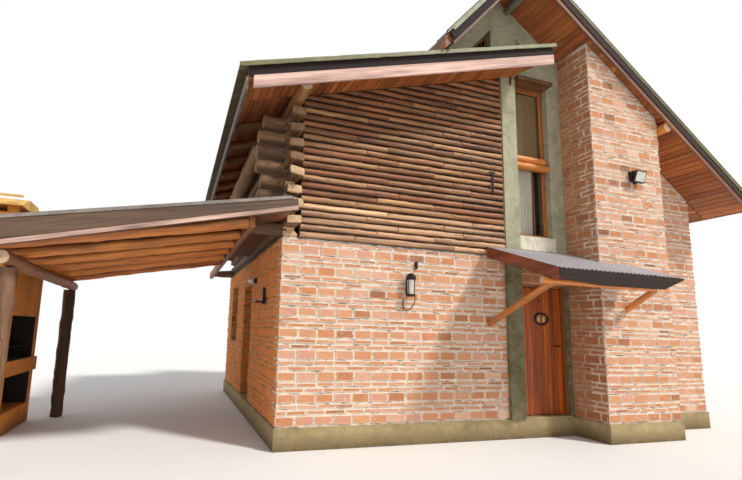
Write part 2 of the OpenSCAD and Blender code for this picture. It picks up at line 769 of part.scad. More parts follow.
// Sloping boards on edge between the canopy's sheet and its front log
module canopy_rafters() {
    rafter_t = 50;
    top_y = 0;
    low_y = canopy_log_y - canopy_log_d;
    spots = [canopy_x + 10, column_x - rafter_t - 20, column_x + porch_w / 2, wing_x + 60];
    color("#9a5a30") place() difference() {
        for (x = spots) along_x(x, x + rafter_t, [
            [-canopy_out, canopy_z(-canopy_out) - canopy_seat],
            [-canopy_out, canopy_z(-canopy_out) - canopy_seat - canopy_rafter_h + 60],
            [low_y, canopy_z(low_y) - canopy_seat - canopy_rafter_h],
            [top_y, canopy_z(top_y) - canopy_seat - canopy_rafter_h],
            [top_y, canopy_z(top_y) - canopy_seat]]);
        canopy_back(pole_d / 2);
    }
}

module canopy_log() {
    color("#b06a34") place() translate([canopy_x - 110, canopy_log_y, canopy_log_z])
        rotate([0, 90, 0]) cylinder(d = canopy_log_d, h = wing_x + 270 - (canopy_x - 110));
}

module canopy_braces() {
    foot_z = 1690;
    wing_foot_z = 1990;
    color("#d08840") place() difference() {
        union() {
            log_between([canopy_x + 20, over, foot_z], [canopy_x - 55, canopy_log_y + 12, canopy_log_z - 22],
                brace_d);
            log_between([wing_x + 520, over - wing_out, wing_foot_z],
                [wing_x + 200, canopy_log_y + 24, canopy_log_z - 14], brace_d);
        }
        translate([0, canopy_log_y, canopy_log_z]) rotate([0, 90, 0])
            cylinder(d = canopy_log_d + 2 * kiss, h = house_w);
        canopy_back(0);
    }
}

module gallery_posts() {
    color("#3a2414") place() for (y = [-post_front, post_rear])
        translate([-gallery_w, y, 0]) cylinder(d = post_d, h = gallery_beam_z - beam_d / 2 - kiss);
}

// The long log over the posts, and the ledger that carries the rafters at the wall
module gallery_beams() {
    color("#5a3a22") place() {
        translate([-gallery_w, 60 - gallery_front, gallery_beam_z]) rotate([-90, 0, 0])
            cylinder(d = beam_d, h = gallery_rear + gallery_front - 120);
        along_y(60 - gallery_front, house_d, [[-ledger_out - ledger_t, ledger_z], [-ledger_out, ledger_z],
            [-ledger_out, gallery_z(-ledger_out) - kiss],
            [-ledger_out - ledger_t, gallery_z(-ledger_out - ledger_t) - kiss]]);
    }
}

module gallery_rafters() {
    first_y = 100 - gallery_front;
    step = (gallery_rear - 200 - first_y) / (rafter_n - 1);
    drop = rafter_d / 2 / cos(gallery_pitch) + kiss;
    inner = -ledger_out - ledger_t;
    outer = 60 - gallery_end;
    color("#b06a34") place() difference() {
        for (y = [first_y : step : first_y + step * (rafter_n - 0.5)])
            log_between([inner + 30, y, gallery_z(inner + 30) - drop],
                [outer, y, gallery_z(outer) - drop], rafter_d);
        block([inner - kiss, -gallery_front, 0], [0, house_d, house_d]);
    }
}

module gallery_roof() {
    color("#c9a06a") place() along_y(-gallery_front, gallery_rear, [[-kiss, gallery_z(0)],
        [-gallery_end, gallery_z(-gallery_end)],
        [-gallery_end, gallery_z(-gallery_end) + gallery_deck_t],
        [-kiss, gallery_z(0) + gallery_deck_t]]);
}

module gallery_sheet() {
    lip = 40;
    top = gallery_deck_t + sheet_t;
    color("#8a8a86") place() along_y(-gallery_front - lip, gallery_rear + lip, [
        [-kiss, gallery_z(0) + gallery_deck_t],
        [-gallery_end - lip, gallery_z(-gallery_end - lip) + gallery_deck_t],
        [-gallery_end - lip, gallery_z(-gallery_end - lip) + top],
        [-kiss, gallery_z(0) + top]]);
}

module gallery_boards() {
    board_t = 30;
    taper = 0.0387;
    high_end = 60;
    reach = gallery_end + high_end;
    top = gallery_deck_t;
    low = top - gallery_board_h + taper * gallery_end / 2;
    color("#4a3a30") place() along_y(-gallery_front - board_t, -gallery_front, [
        [high_end, gallery_z(high_end) + top], [high_end, gallery_z(high_end) + low],
        [-gallery_end, gallery_z(-gallery_end) + low - taper * reach],
        [-gallery_end, gallery_z(-gallery_end) + top]]);
}

module barbecue() {
    back_x = grill_x - grill_d + grill_t;
    color("#c87820") place() difference() {
        union() {
            block([grill_x - grill_d, grill_y, 0], [grill_x, grill_y + grill_w, grill_h]);
            block([grill_x, grill_y, hearth_z - shelf_t], [grill_x + 40, grill_y + grill_w, hearth_z]);
        }
        block([back_x, grill_y + grill_t, hearth_z],
            [grill_x + 3 * over, grill_y + grill_w - grill_t, hearth_z + hearth_h]);
        block([back_x, grill_y + grill_t, store_z],
            [grill_x + 3 * over, grill_y + grill_w - grill_t, hearth_z - shelf_t]);
        flue_cut(hearth_z + hearth_h - over, grill_h + over);
    }
}

// Clear way for the smoke, from one height to another
module flue_cut(low, high) {
    x = grill_x - grill_d / 2;
    y = grill_y + grill_w / 2;
    w = chimney_w - 240;
    d = chimney_d - 240;
    block([x - d / 2, y - w / 2, low], [x + d / 2, y + w / 2, high]);
}

module barbecue_chimney() {
    x = grill_x - grill_d / 2;
    y = grill_y + grill_w / 2;
    body_top = chimney_top - cap_h;
    color("#c87820") place() {
        difference() {
            block([x - chimney_d / 2, y - chimney_w / 2, grill_h],
                [x + chimney_d / 2, y + chimney_w / 2, body_top]);
            flue_cut(grill_h - over, body_top + over);
            for (k = [-1, 1]) {
                block([x - chimney_d, y + k * chimney_w / 4 - 130, body_top - vent_h],
                    [x + chimney_d, y + k * chimney_w / 4 + 130, body_top + over]);
            }
            block([x - chimney_d / 4, y - chimney_w, body_top - vent_h],
                [x + chimney_d / 4, y + chimney_w, body_top + over]);
        }
        along_x(x - chimney_d / 2 - 60, x + chimney_d / 2 + 60, [[y - chimney_w / 2 - 80, body_top],
            [y + chimney_w / 2 + 80, body_top], [y + chimney_w / 4, chimney_top],
            [y - chimney_w / 4, chimney_top]]);
    }
}

// A window frame in the X and Z plane, from its lower left front corner
module window_frame(w, h) {
    difference() {
        cube([w, bar_t, h]);
        translate([bar_w, -over, bar_w]) cube([w - 2 * bar_w, bar_t + 2 * over, h - 2 * bar_w]);
    }
}

module window_pane(w, h) {
    translate([bar_w, bar_t / 2 - glass_t / 2, bar_w]) cube([w - 2 * bar_w, glass_t, h - 2 * bar_w]);
}

module tall_window() {
    color("#9a5a2c") place() translate([column_x, 100, bay_z]) window_frame(bay_w, bay_h);
}

// The timber over the tall window
module window_head() {
    color("#7a4a2a") place() block([column_x, -150, bay_top], [pier_x, wall_t, bay_top + bay_head_t]);
}

// Frames of the two lights beside the gable's post
module gable_lights() {
    set = 90;
    color("#9a5a2c") place() difference() {
        union() {
            along_y(set, set + bar_t, left_light(0));
            along_y(set, set + bar_t, right_light(0));
        }
        along_y(set - over, set + bar_t + over, left_light(bar_w));
        along_y(set - over, set + bar_t + over, right_light(bar_w / 2));
    }
}

module transom_logs() {
    color("#c08048") place() for (k = [0, 1])
        translate([column_x, 35, transom_z + (transom_d + kiss) * (k - 0.5)]) rotate([0, 90, 0])
            cylinder(d = transom_d, h = bay_w - 90 * k);
}

// Puts its children in each of the side and rear window openings
module at_side_windows() {
    set = (wall_t - bar_t) / 2;
    translate([set, side_win_y + side_win_w, side_win_z]) rotate([0, 0, -90]) children();
    translate([house_w - set, right_win_y - side_win_w / 2, side_win_z]) rotate([0, 0, 90]) children();
    for (x = rear_win_x)
        translate([x - side_win_w / 2, rear_y + set, side_win_z]) children();
    translate([ridge_x - side_win_w / 2, rear_y + set, storey_top + rear_win_up]) children();
}

module side_windows() {
    color("#9a5a2c") place() at_side_windows() window_frame(side_win_w, side_win_h);
}

module window_glass() {
    mid = 90 + bar_t / 2;
    color("#9fb4b8") place() {
        at_side_windows() window_pane(side_win_w, side_win_h);
        translate([column_x, 100, bay_z]) window_pane(bay_w, bay_h);
        along_y(mid - glass_t / 2, mid + glass_t / 2, left_light(bar_w));
        along_y(mid - glass_t / 2, mid + glass_t / 2, right_light(bar_w / 2));
    }
}

module door_frame() {
    color("#a5602c") place() difference() {
        block([column_x, frame_set, plinth_h + door_sill_h],
            [column_x + door_gap_w, frame_set + frame_t, door_head]);
        block([column_x + frame_w, frame_set - over, plinth_h],
            [column_x + door_gap_w - frame_w, frame_set + frame_t + over, door_head - frame_w]);
    }
}

module door_sill() {
    color("#b9a88a") place() block([column_x, -30, plinth_h],
        [column_x + door_gap_w, wall_t, plinth_h + door_sill_h]);
}

module door_leaf() {
    color("#8a3a18") place() translate([leaf_x, leaf_y - leaf_t, leaf_z]) cube([leaf_w, leaf_t, leaf_h]);
}

// One row of hinge halves on the inner faces, with plates to one side of the hinge line
module hinge_halves(side, lift) {
    plate_w = 30;
    for (z = hinge_zs) translate([hinge_x, hinge_y, z + lift]) {
        cylinder(r = hinge_r, h = knuckle_h);
        translate([side > 0 ? 0 : -plate_w - hinge_r, -hinge_out, 0])
            cube([plate_w + hinge_r, 3, knuckle_h]);
        translate([side > 0 ? 0 : -hinge_r, -hinge_out, 0]) cube([hinge_r, hinge_out, knuckle_h]);
    }
}

module frame_hinges() {
    color("#26221e") place() hinge_halves(-1, 0);
}

module leaf_hinges() {
    color("#26221e") place() hinge_halves(1, knuckle_h + kiss);
}

// A plate and a lever on each side of the leaf
module door_handles() {
    plate_w = 40;
    plate_h = 200;
    plate_t = 8;
    lever_l = 130;
    color("#20201e") place() for (side = [-1, 1])
        translate([leaf_x + leaf_w - 70, leaf_y - leaf_t / 2 + side * leaf_t / 2, leaf_z + leaf_h * 0.52]) {
            translate([0, side * plate_t / 2, 0]) cube([plate_w, plate_t, plate_h], center = true);
            translate([0, side * (plate_t + 20), 30]) cube([20, 40, 20], center = true);
            translate([20 - lever_l / 2, side * (plate_t + 34), 30]) cube([lever_l, 14, 18], center = true);
        }
}

// The wall lantern, the lamp high on the wing and the round lamp over the gallery doorway
module lanterns() {
    lantern_x = block_w - lantern_in;
    lantern_y = -100;
    body = 0.72;
    color("#26221e") place() {
        translate([lantern_x, lantern_y, lantern_z]) cylinder(d = lantern_w, h = 20);
        translate([lantern_x, lantern_y, lantern_z + 20])
            cylinder(d = lantern_w * 0.8, h = lantern_h * body - 20);
        translate([lantern_x, lantern_y, lantern_z + lantern_h * body])
            cylinder(d1 = lantern_w * 1.15, d2 = lantern_w * 0.35, h = lantern_h * (1 - body));
        block([lantern_x - 12, -100, lantern_z - 40], [lantern_x + 12, 0, lantern_z - 16]);
        block([lantern_x - 12, -112, lantern_z - 40], [lantern_x + 12, -88, lantern_z]);
        translate([wing_x + wing_lamp_in, -wing_out - 60, wing_lamp_z])
            cube([260, 70, 200], center = true);
        block([wing_x + wing_lamp_in - 20, -wing_out - 25, wing_lamp_z - 30],
            [wing_x + wing_lamp_in + 20, -wing_out, wing_lamp_z + 30]);
        translate([-40, 1860, 2340]) rotate([0, 90, 0]) cylinder(d = 110, h = 40);
        translate([-95, 1860, 2340]) rotate([0, 90, 0]) sphere(d = 130);
    }
}

plinth();
ground_floor();
upper_floor();
front_wall();
left_wall_near();
left_wall_far();
left_wall_lintel();
rear_wall();
right_wall();
right_front_wall();
wing_left_wall();
wing_front_wall();
wing_right_wall();
door_pier();
door_lintel();
front_column();
window_sill();
window_pier();
front_gable();
wall_backing();
wall_poles();
left_log_wall();
rear_upper_wall();
shed_deck();
shed_sheet();
shed_boards();
shed_plate_logs();
eave_rafters();
gable_deck_left();
gable_deck_right();
gable_sheet_left();
gable_sheet_right();
rake_boards();
ridge_log();
canopy_sheet();
canopy_boards();
canopy_rafters();
canopy_log();
canopy_braces();
gallery_posts();
gallery_beams();
gallery_rafters();
gallery_roof();
gallery_sheet();
gallery_boards();
barbecue();
barbecue_chimney();
tall_window();
window_head();
gable_lights();
transom_logs();
side_windows();
window_glass();
door_frame();
door_sill();
frame_hinges();
door_leaf();
leaf_hinges();
door_handles();
lanterns();
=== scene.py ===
"""Dresses the brick and log house: bricks, poles, logs, boards, roof ribs, door, cloths and lamps."""

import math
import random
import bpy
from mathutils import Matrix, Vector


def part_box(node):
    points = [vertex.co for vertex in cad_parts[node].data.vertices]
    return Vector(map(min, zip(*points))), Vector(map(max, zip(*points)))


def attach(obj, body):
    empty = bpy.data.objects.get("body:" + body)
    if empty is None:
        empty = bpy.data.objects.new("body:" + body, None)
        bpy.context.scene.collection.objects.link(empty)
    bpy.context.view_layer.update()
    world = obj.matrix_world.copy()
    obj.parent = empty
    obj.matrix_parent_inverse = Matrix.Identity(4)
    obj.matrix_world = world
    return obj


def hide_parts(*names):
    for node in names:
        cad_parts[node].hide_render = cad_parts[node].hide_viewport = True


bl_info = {
    "name": "Brick and log house",
    "version": (1, 0, 0),
    "blender": (4, 5, 0),
    "location": "3D View > Sidebar > House",
    "description": "Builds the visible finish of a two-storey brick and log house",
    "category": "Object",
}

import bpy
from mathutils import Matrix, Vector

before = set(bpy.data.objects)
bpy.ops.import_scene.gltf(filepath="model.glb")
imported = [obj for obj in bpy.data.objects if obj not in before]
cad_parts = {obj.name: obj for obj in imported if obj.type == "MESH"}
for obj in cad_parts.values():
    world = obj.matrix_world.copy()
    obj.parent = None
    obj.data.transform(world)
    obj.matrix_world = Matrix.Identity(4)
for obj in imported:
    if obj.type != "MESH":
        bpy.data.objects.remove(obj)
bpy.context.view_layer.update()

# The front wall's left corner on the ground. House sizes below are metres from it.
CORNER = Vector((-3.95, -2.85, 0.0))
HOUSE_W, HOUSE_D, WALL_T = 7.9, 5.7, 0.27
PLINTH_H, STOREY_TOP = 0.28, 2.76
BLOCK_W, COLUMN_X, PIER_X = 3.6, 3.88, 4.6
WING_X, WING_END, WING_Y = 4.88, 6.35, -0.6

# Roofs: pitches, thickness of deck and sheet, and where their slopes start and meet
SHED_PITCH, LEFT_PITCH, RIGHT_PITCH = math.radians(16.2), math.radians(48.2), math.radians(36.1)
GALLERY_PITCH = math.radians(10.6)
RIDGE_X, RIDGE_TOP, DECK_T, SHEET_T = 3.64, 7.48, 0.19, 0.03
BLOCK_TOP, SHED_DECK_T, MEET_X = 4.75, 0.17, 2.0909
GALLERY_WALL_Z, GALLERY_ROOF_T = 2.985, 0.18
SHED_EAVE_X, RIGHT_EAVE_X = -0.64, 8.33
GABLE_FRONT_Y, REAR_EDGE_Y = -0.715, 6.03

# Poles and logs
POLE_PITCH, POLE_D, LOG_PITCH = 0.1, 0.096, 0.2162

# Window openings: from and to along the wall, then bottom and top
LEFT_WINDOW = (4.1, 5.0, 1.25, 2.45)
RIGHT_WINDOW = (2.4, 3.3, 1.25, 2.45)
REAR_WINDOWS = ((1.762, 2.662, 1.25, 2.45), (5.238, 6.138, 1.25, 2.45), (3.19, 4.09, 3.66, 4.86))

MM = 0.001


def at(x, y, z):
    """A point given from the house's corner, in the frame."""
    return CORNER + Vector((x, y, z))


def shed_z(x):
    """The underside of the low roof."""
    return BLOCK_TOP + math.tan(SHED_PITCH) * x


def left_z(x):
    """The underside of the gable roof's left slope."""
    return RIDGE_TOP - DECK_T - math.tan(LEFT_PITCH) * (RIDGE_X - x)


def right_z(x):
    """The underside of the gable roof's right slope."""
    return RIDGE_TOP - DECK_T - math.tan(RIGHT_PITCH) * (x - RIDGE_X)


def gallery_z(x):
    """The underside of the gallery's roof."""
    return GALLERY_WALL_Z + math.tan(GALLERY_PITCH) * x


def rear_roof(x):
    """The underside of the roofs over the rear wall."""
    return shed_z(x) if x < MEET_X else min(left_z(x), right_z(x))


# Colours and shader nodes


def linear(colour):
    """The linear colour of an sRGB hex value. A colour property is linear already."""
    if not isinstance(colour, str):
        return tuple(colour[:3]) + (1.0,)
    values = [int(colour[i:i + 2], 16) / 255 for i in (1, 3, 5)]
    return tuple(v / 12.92 if v <= 0.04045 else ((v + 0.055) / 1.055) ** 2.4 for v in values) + (1.0,)


def shade(colour, factor):
    """A colour made darker or paler."""
    return tuple(min(1.0, c * factor) for c in linear(colour)[:3]) + (1.0,)


def put(tree, kind, sockets=(), stops=(), out=0, **settings):
    """Adds a node with its settings and colour stops, sets or links its sockets, and gives an output."""
    made = tree.nodes.new(kind)
    for name, value in settings.items():
        setattr(made, name, value)
    for key, value in sockets.items() if isinstance(sockets, dict) else enumerate(sockets):
        if isinstance(value, bpy.types.NodeSocket):
            tree.links.new(value, made.inputs[key])
        else:
            made.inputs[key].default_value = value
    if stops:
        items = made.color_ramp.elements
        while len(items) < len(stops):
            items.new(0.5)
        for item, (place, colour) in zip(items, stops):
            item.position = place
            item.color = linear(colour)
    return made.outputs[out]


def new_material(name, rough, **values):
    """A material whose even values stand on the shader's own sockets."""
    material = bpy.data.materials.new(name)
    material.use_nodes = True
    shader = material.node_tree.nodes["Principled BSDF"]
    shader.inputs["Roughness"].default_value = rough
    for key, value in values.items():
        shader.inputs[key.replace("_", " ")].default_value = value
    return material, material.node_tree


def surfaced(material, colour, height=None, depth_mm=1.0, share=1.0):
    """Gives a material its colour pattern and a relief of heights from 0 to 1, depth_mm deep."""
    tree = material.node_tree
    shader = tree.nodes["Principled BSDF"]
    tree.links.new(colour, shader.inputs["Base Color"])
    if height is not None:
        bump = put(tree, "ShaderNodeBump", {"Height": height, "Strength": share, "Distance": depth_mm * MM})
        tree.links.new(bump, shader.inputs["Normal"])
    return material


def patches(place, size, detail=4.0, rough=0.55, distortion=0.0):
    """The sockets of a noise whose patches have a size in the unit of its place."""
    return {"Vector": place, "Scale": 1 / size, "Detail": detail, "Roughness": rough,
            "Distortion": distortion}


def local(tree, stretch=(1, 1, 1), turn=(0, 0, 0)):
    """Object coordinates in metres, turned and then stretched."""
    place = put(tree, "ShaderNodeTexCoord", out="Object")
    turned = put(tree, "ShaderNodeMapping", {"Vector": place, "Rotation": turn})
    return put(tree, "ShaderNodeMapping", {"Vector": turned, "Scale": stretch})


def mean(tree, a, b):
    """The mean of two patterns."""
    total = put(tree, "ShaderNodeMath", (a, b), operation="ADD")
    return put(tree, "ShaderNodeMath", (total, 0.5), operation="MULTIPLY")


def layered(tree, base, layers):
    """Lays colours over a base, each by its share."""
    for share, top in layers:
        base = put(tree, "ShaderNodeMix", {0: share, 6: base, 7: top}, out=2, data_type="RGBA")
    return base


# Materials. Lengths are real sizes: patches of dirt, grains of sand, fibres.


def plaster(name, colour, grain_mm=6, lower=None, reach=(0.0, 0.2)):
    """Painted cement render, floated by hand: matt, with soft clouds and a sandy grain. A second colour can
    cover it lower down, as splashed earth or older paint, fading out within a reach of heights in metres."""
    material, tree = new_material(name, 0.9)
    place = local(tree)
    cloud = put(tree, "ShaderNodeTexNoise", patches(place, 556 * MM, 8.0, 0.62))
    patch = put(tree, "ShaderNodeTexNoise", patches(place, 143 * MM, 5.0, 0.6, 0.8))
    base = put(tree, "ShaderNodeValToRGB", [mean(tree, cloud, patch)],
               [(0.34, shade(colour, 0.66)), (0.5, colour), (0.66, shade(colour, 1.3))])
    if lower:
        height = put(tree, "ShaderNodeSeparateXYZ", [place], out="Z")
        splash = put(tree, "ShaderNodeMapRange", (height, *reach, 1.2, 0.0))
        patchy = put(tree, "ShaderNodeMapRange", (patch, 0.3, 0.6, 0.4, 0.8))
        share = put(tree, "ShaderNodeMath", (splash, patchy), operation="MULTIPLY")
        base = layered(tree, base, [(share, linear(lower))])
    # A grain and the gap beside it make one patch
    sand = put(tree, "ShaderNodeTexNoise", patches(place, 2 * grain_mm * MM))
    height = put(tree, "ShaderNodeMath", (sand, patch), operation="ADD")
    return surfaced(material, base, height, 2.5, 0.7)


def mortar(name, colour):
    """Struck lime mortar: pale and crumbly, with painted shade in deep joints here and there."""
    material, tree = new_material(name, 0.95)
    cloud = put(tree, "ShaderNodeTexNoise", patches(local(tree), 111 * MM, 7.0, 0.65))
    base = put(tree, "ShaderNodeValToRGB", [cloud],
               [(0.3, shade(colour, 0.72)), (0.5, shade(colour, 0.95)), (0.68, shade(colour, 1.15))])
    # Painted shade in deep joints, in patches 167 mm long and 29 mm high
    lengths = local(tree, (6.0, 6.0, 34.0))
    deep = put(tree, "ShaderNodeTexNoise", patches(lengths, 1, 4.0, 0.6))
    dark = put(tree, "ShaderNodeMapRange", (deep, 0.52, 0.62, 0.0, 0.8))
    base = layered(tree, base, [(dark, shade(colour, 0.18))])
    height = put(tree, "ShaderNodeMath", (cloud, deep), operation="SUBTRACT")
    return surfaced(material, base, height, 6, 0.8)


def timber(name, colour, second=None, run=None, slope=0.0, rough=0.55, coat=0.0, grain_mm=9, cracks=0.5,
           knots=0.7):
    """Wood: fibres along the grain, broad bands, knots and drying cracks. A piece brings its own grain and
    tone as attributes; a CAD node's grain runs along an axis of the house, or up a slope from it."""
    material, tree = new_material(name, rough, Coat_Weight=coat, Coat_Roughness=0.3)
    # Places are counted in pairs of fibres, which are 22 times as long as they are wide
    count = 1 / (2 * grain_mm * MM)
    stretch = (count * 0.045, count, count)
    if run is None:
        grain = put(tree, "ShaderNodeAttribute", out="Vector", attribute_name="grain")
        place = put(tree, "ShaderNodeMapping", {"Vector": grain, "Scale": stretch})
        tone = put(tree, "ShaderNodeAttribute", out="Fac", attribute_name="tone")
    else:
        turn = {"X": (0, slope, 0), "Y": (0, 0, -math.pi / 2), "Z": (0, math.pi / 2, 0)}[run]
        place = local(tree, stretch, turn)
        tone = put(tree, "ShaderNodeTexNoise", patches(place, 20, 1.0))
    fibre = put(tree, "ShaderNodeTexNoise", patches(place, 1, 9.0, 0.68, 0.6))
    broad = put(tree, "ShaderNodeTexNoise", patches(place, 6.25, 3.0, 0.5, 1.2))
    height = mean(tree, fibre, broad)
    lift = put(tree, "ShaderNodeMapRange", (tone, 0.0, 1.0, -0.07, 0.07))
    lifted = put(tree, "ShaderNodeMath", (height, lift), operation="ADD")
    wood = put(tree, "ShaderNodeValToRGB", [lifted],
               [(0.34, shade(colour, 0.38)), (0.5, colour), (0.66, shade(colour, 1.75))])
    if second:
        # Some pieces have another hue than the rest
        other = put(tree, "ShaderNodeValToRGB", [lifted],
                    [(0.34, shade(second, 0.42)), (0.5, second), (0.66, shade(second, 1.7))])
        lot = put(tree, "ShaderNodeMath", (tone, 7.0), operation="MULTIPLY")
        lot = put(tree, "ShaderNodeMath", [lot], operation="FRACT")
        share = put(tree, "ShaderNodeMapRange", (lot, 0.35, 0.75, 0.0, 1.0))
        wood = layered(tree, wood, [(share, other)])
    # Painted shade: gaps between logs and sides turned away from the light are darkened by the piece's own
    # attribute
    painted_shade = put(tree, "ShaderNodeAttribute", out="Fac", attribute_name="painted_shade")
    # Knots are dark spots a few centimetres wide, and seldom
    knot = put(tree, "ShaderNodeTexVoronoi", {"Vector": place, "Scale": 0.11})
    knot = put(tree, "ShaderNodeMapRange", (knot, 0.05, 0.16, knots, 0.0))
    # Cracks are thin dark lines along the grain
    line = put(tree, "ShaderNodeTexNoise", patches(place, 1.818, 2.0, 0.4))
    line = put(tree, "ShaderNodeMath", (line, 0.5), operation="SUBTRACT")
    line = put(tree, "ShaderNodeMath", [line], operation="ABSOLUTE")
    split = put(tree, "ShaderNodeMapRange", (line, 0.0, 0.012, cracks, 0.0))
    wood = layered(tree, wood, [(painted_shade, shade(colour, 0.12)), (knot, shade(colour, 0.25)),
                                (split, linear("#1A0F08"))])
    height = put(tree, "ShaderNodeMath", (height, split), operation="SUBTRACT")
    return surfaced(material, wood, height, 4, 0.8)


def end_grain(name, colour):
    """Sawn log ends: dry and pale, with year rings drawn 9 mm apart, coarser than real so that they show."""
    material, tree = new_material(name, 0.85)
    grain = put(tree, "ShaderNodeAttribute", out="Vector", attribute_name="grain")
    across = put(tree, "ShaderNodeVectorMath", (grain, (0, 1, 1)), operation="MULTIPLY")
    radius = put(tree, "ShaderNodeVectorMath", [across], out="Value", operation="LENGTH")
    cloud = put(tree, "ShaderNodeTexNoise", patches(grain, 33.3 * MM, 6.0, 0.6, 1.0))
    waves = put(tree, "ShaderNodeMath", (cloud, 1.6), operation="MULTIPLY")
    rings = put(tree, "ShaderNodeMath", (radius, 1 / (9.09 * MM), waves), operation="MULTIPLY_ADD")
    rings = put(tree, "ShaderNodeMath", [rings], operation="FRACT")
    blur = put(tree, "ShaderNodeMath", (cloud, 0.6), operation="MULTIPLY")
    height = put(tree, "ShaderNodeMath", (rings, 0.4, blur), operation="MULTIPLY_ADD")
    wood = put(tree, "ShaderNodeValToRGB", [height],
               [(0.25, shade(colour, 0.5)), (0.5, colour), (0.75, shade(colour, 1.3))])
    heart = put(tree, "ShaderNodeMapRange", (radius, 0.0, 12 * MM, 0.6, 0.0))
    wood = layered(tree, wood, [(heart, shade(colour, 0.35))])
    return surfaced(material, wood, height, 2, 0.6)


def hewn_end(name, colour):
    """Axe hewn log ends without rings: chipped pale wood with grey weather stains."""
    material, tree = new_material(name, 0.85)
    chips = put(tree, "ShaderNodeTexNoise", patches(local(tree), 35.7 * MM, 7.0, 0.62, 1.4))
    wood = put(tree, "ShaderNodeValToRGB", [chips],
               [(0.3, shade(colour, 0.45)), (0.5, colour), (0.68, shade(colour, 1.35))])
    return surfaced(material, wood, chips, 4, 0.7)


def brick_clay(name, clay, joint, warm=None):
    """Common fired brick: matt and sandy, each of its own tone, with lime mortar smeared over its edges."""
    material, tree = new_material(name, 0.92)
    tone = put(tree, "ShaderNodeAttribute", out="Fac", attribute_name="tone")
    rim = put(tree, "ShaderNodeAttribute", out="Fac", attribute_name="rim")
    base = put(tree, "ShaderNodeValToRGB", [tone],
               [(0.0, shade(clay, 0.42)), (0.2, shade(clay, 0.72)), (0.42, clay), (0.6, "#D89E74"),
                (0.74, "#D69C84"), (0.9, "#DEAE90"), (1.0, "#E4BCA0")])
    # The tint paints light over all bricks: orange bounce light on the left wall, shade on the porch
    if warm:
        base = layered(tree, base, [(0.7, linear(warm))])
    place = local(tree)
    patch = put(tree, "ShaderNodeTexNoise", patches(place, 41.7 * MM, 8.0, 0.7))
    grit = put(tree, "ShaderNodeTexNoise", patches(place, 6.67 * MM, 4.0, 0.6))
    pale = put(tree, "ShaderNodeMapRange", (patch, 0.54, 0.74, 0.0, 0.45))
    burnt = put(tree, "ShaderNodeMapRange", (patch, 0.26, 0.42, 0.5, 0.0))
    # Mortar smears lie along the rims, and more of them in some zones of a wall than in others
    smear = put(tree, "ShaderNodeTexNoise", patches(place, 26.3 * MM, 5.0, 0.65))
    zone = put(tree, "ShaderNodeTexNoise", patches(place, 385 * MM, 4.0, 0.6))
    zone = put(tree, "ShaderNodeMapRange", (zone, 0.35, 0.65, -0.1, 0.14))
    smear = put(tree, "ShaderNodeMath", (smear, zone), operation="ADD")
    smear = put(tree, "ShaderNodeMath", (rim, 0.6, smear), operation="MULTIPLY_ADD")
    cover = put(tree, "ShaderNodeMapRange", (smear, 0.62, 0.86, 0.0, 0.9))
    lime = layered(tree, shade(joint, 0.8), [(grit, shade(joint, 1.15))])
    base = layered(tree, base, [(pale, shade(clay, 1.6)), (burnt, shade(clay, 0.45)), (cover, lime)])
    height = put(tree, "ShaderNodeMath", (grit, patch), operation="ADD")
    return surfaced(material, base, height, 4, 0.8)


def painted_sheet(name, colour, rough=0.5):
    """Pressed steel sheet, painted and chalked by the sun, with rain streaks down the slope."""
    material, tree = new_material(name, rough)
    # Streaks are 500 mm long and 71 mm wide
    streak = put(tree, "ShaderNodeTexNoise", patches(local(tree, (1.0, 7.0, 1.0)), 500 * MM, 6.0, 0.6))
    cloud = put(tree, "ShaderNodeTexNoise", patches(local(tree), 111 * MM))
    both = mean(tree, streak, cloud)
    base = put(tree, "ShaderNodeValToRGB", [both], [(0.36, shade(colour, 0.62)), (0.64, shade(colour, 1.3))])
    return surfaced(material, base, both, 1, 0.3)


def galvanised(name):
    """Hot dipped steel, dulled by weather: soft grey spangle a few centimetres wide."""
    material, tree = new_material(name, 0.45, Metallic=0.25)
    place = local(tree)
    spangle = put(tree, "ShaderNodeTexVoronoi", {"Vector": place, "Scale": 1 / (29.4 * MM)})
    cloud = put(tree, "ShaderNodeTexNoise", patches(place, 200 * MM, 6.0))
    both = put(tree, "ShaderNodeMath", (spangle, cloud), operation="MULTIPLY")
    return surfaced(material, put(tree, "ShaderNodeValToRGB", [both],
                                  [(0.0, "#B2B0B4"), (0.3, "#C6C4C8"), (0.7, "#DAD8DA")]))


def cloth(name, colour, across):
    """Woven cotton: matt, with threads drawn 16 mm apart, which is coarser than real so that they show."""
    material, tree = new_material(name, 0.95)
    # A wave pattern of scale 1 repeats every 314 mm
    wave_mm, thread_mm = 314, 15.7
    weave = put(tree, "ShaderNodeTexWave", {"Vector": local(tree), "Scale": wave_mm / thread_mm,
                                            "Distortion": 1.5, "Detail": 2.0},
                out="Fac", bands_direction=across)
    cloud = put(tree, "ShaderNodeTexNoise", patches(local(tree), 111 * MM))
    base = put(tree, "ShaderNodeValToRGB", [mean(tree, weave, cloud)],
               [(0.25, shade(colour, 0.75)), (0.75, shade(colour, 1.2))])
    return surfaced(material, base, weave, 0.6, 0.5)


def mottled(name, rough, size_mm, detail, stops, depth_mm=None, **values):
    """A smooth hard finish with faint mottling."""
    material, tree = new_material(name, rough, **values)
    marks = put(tree, "ShaderNodeTexNoise", patches(local(tree), size_mm * MM, detail))
    base = put(tree, "ShaderNodeValToRGB", [marks], stops)
    return surfaced(material, base, marks if depth_mm else None, depth_mm or 0, 0.5)


FINISHES = {}


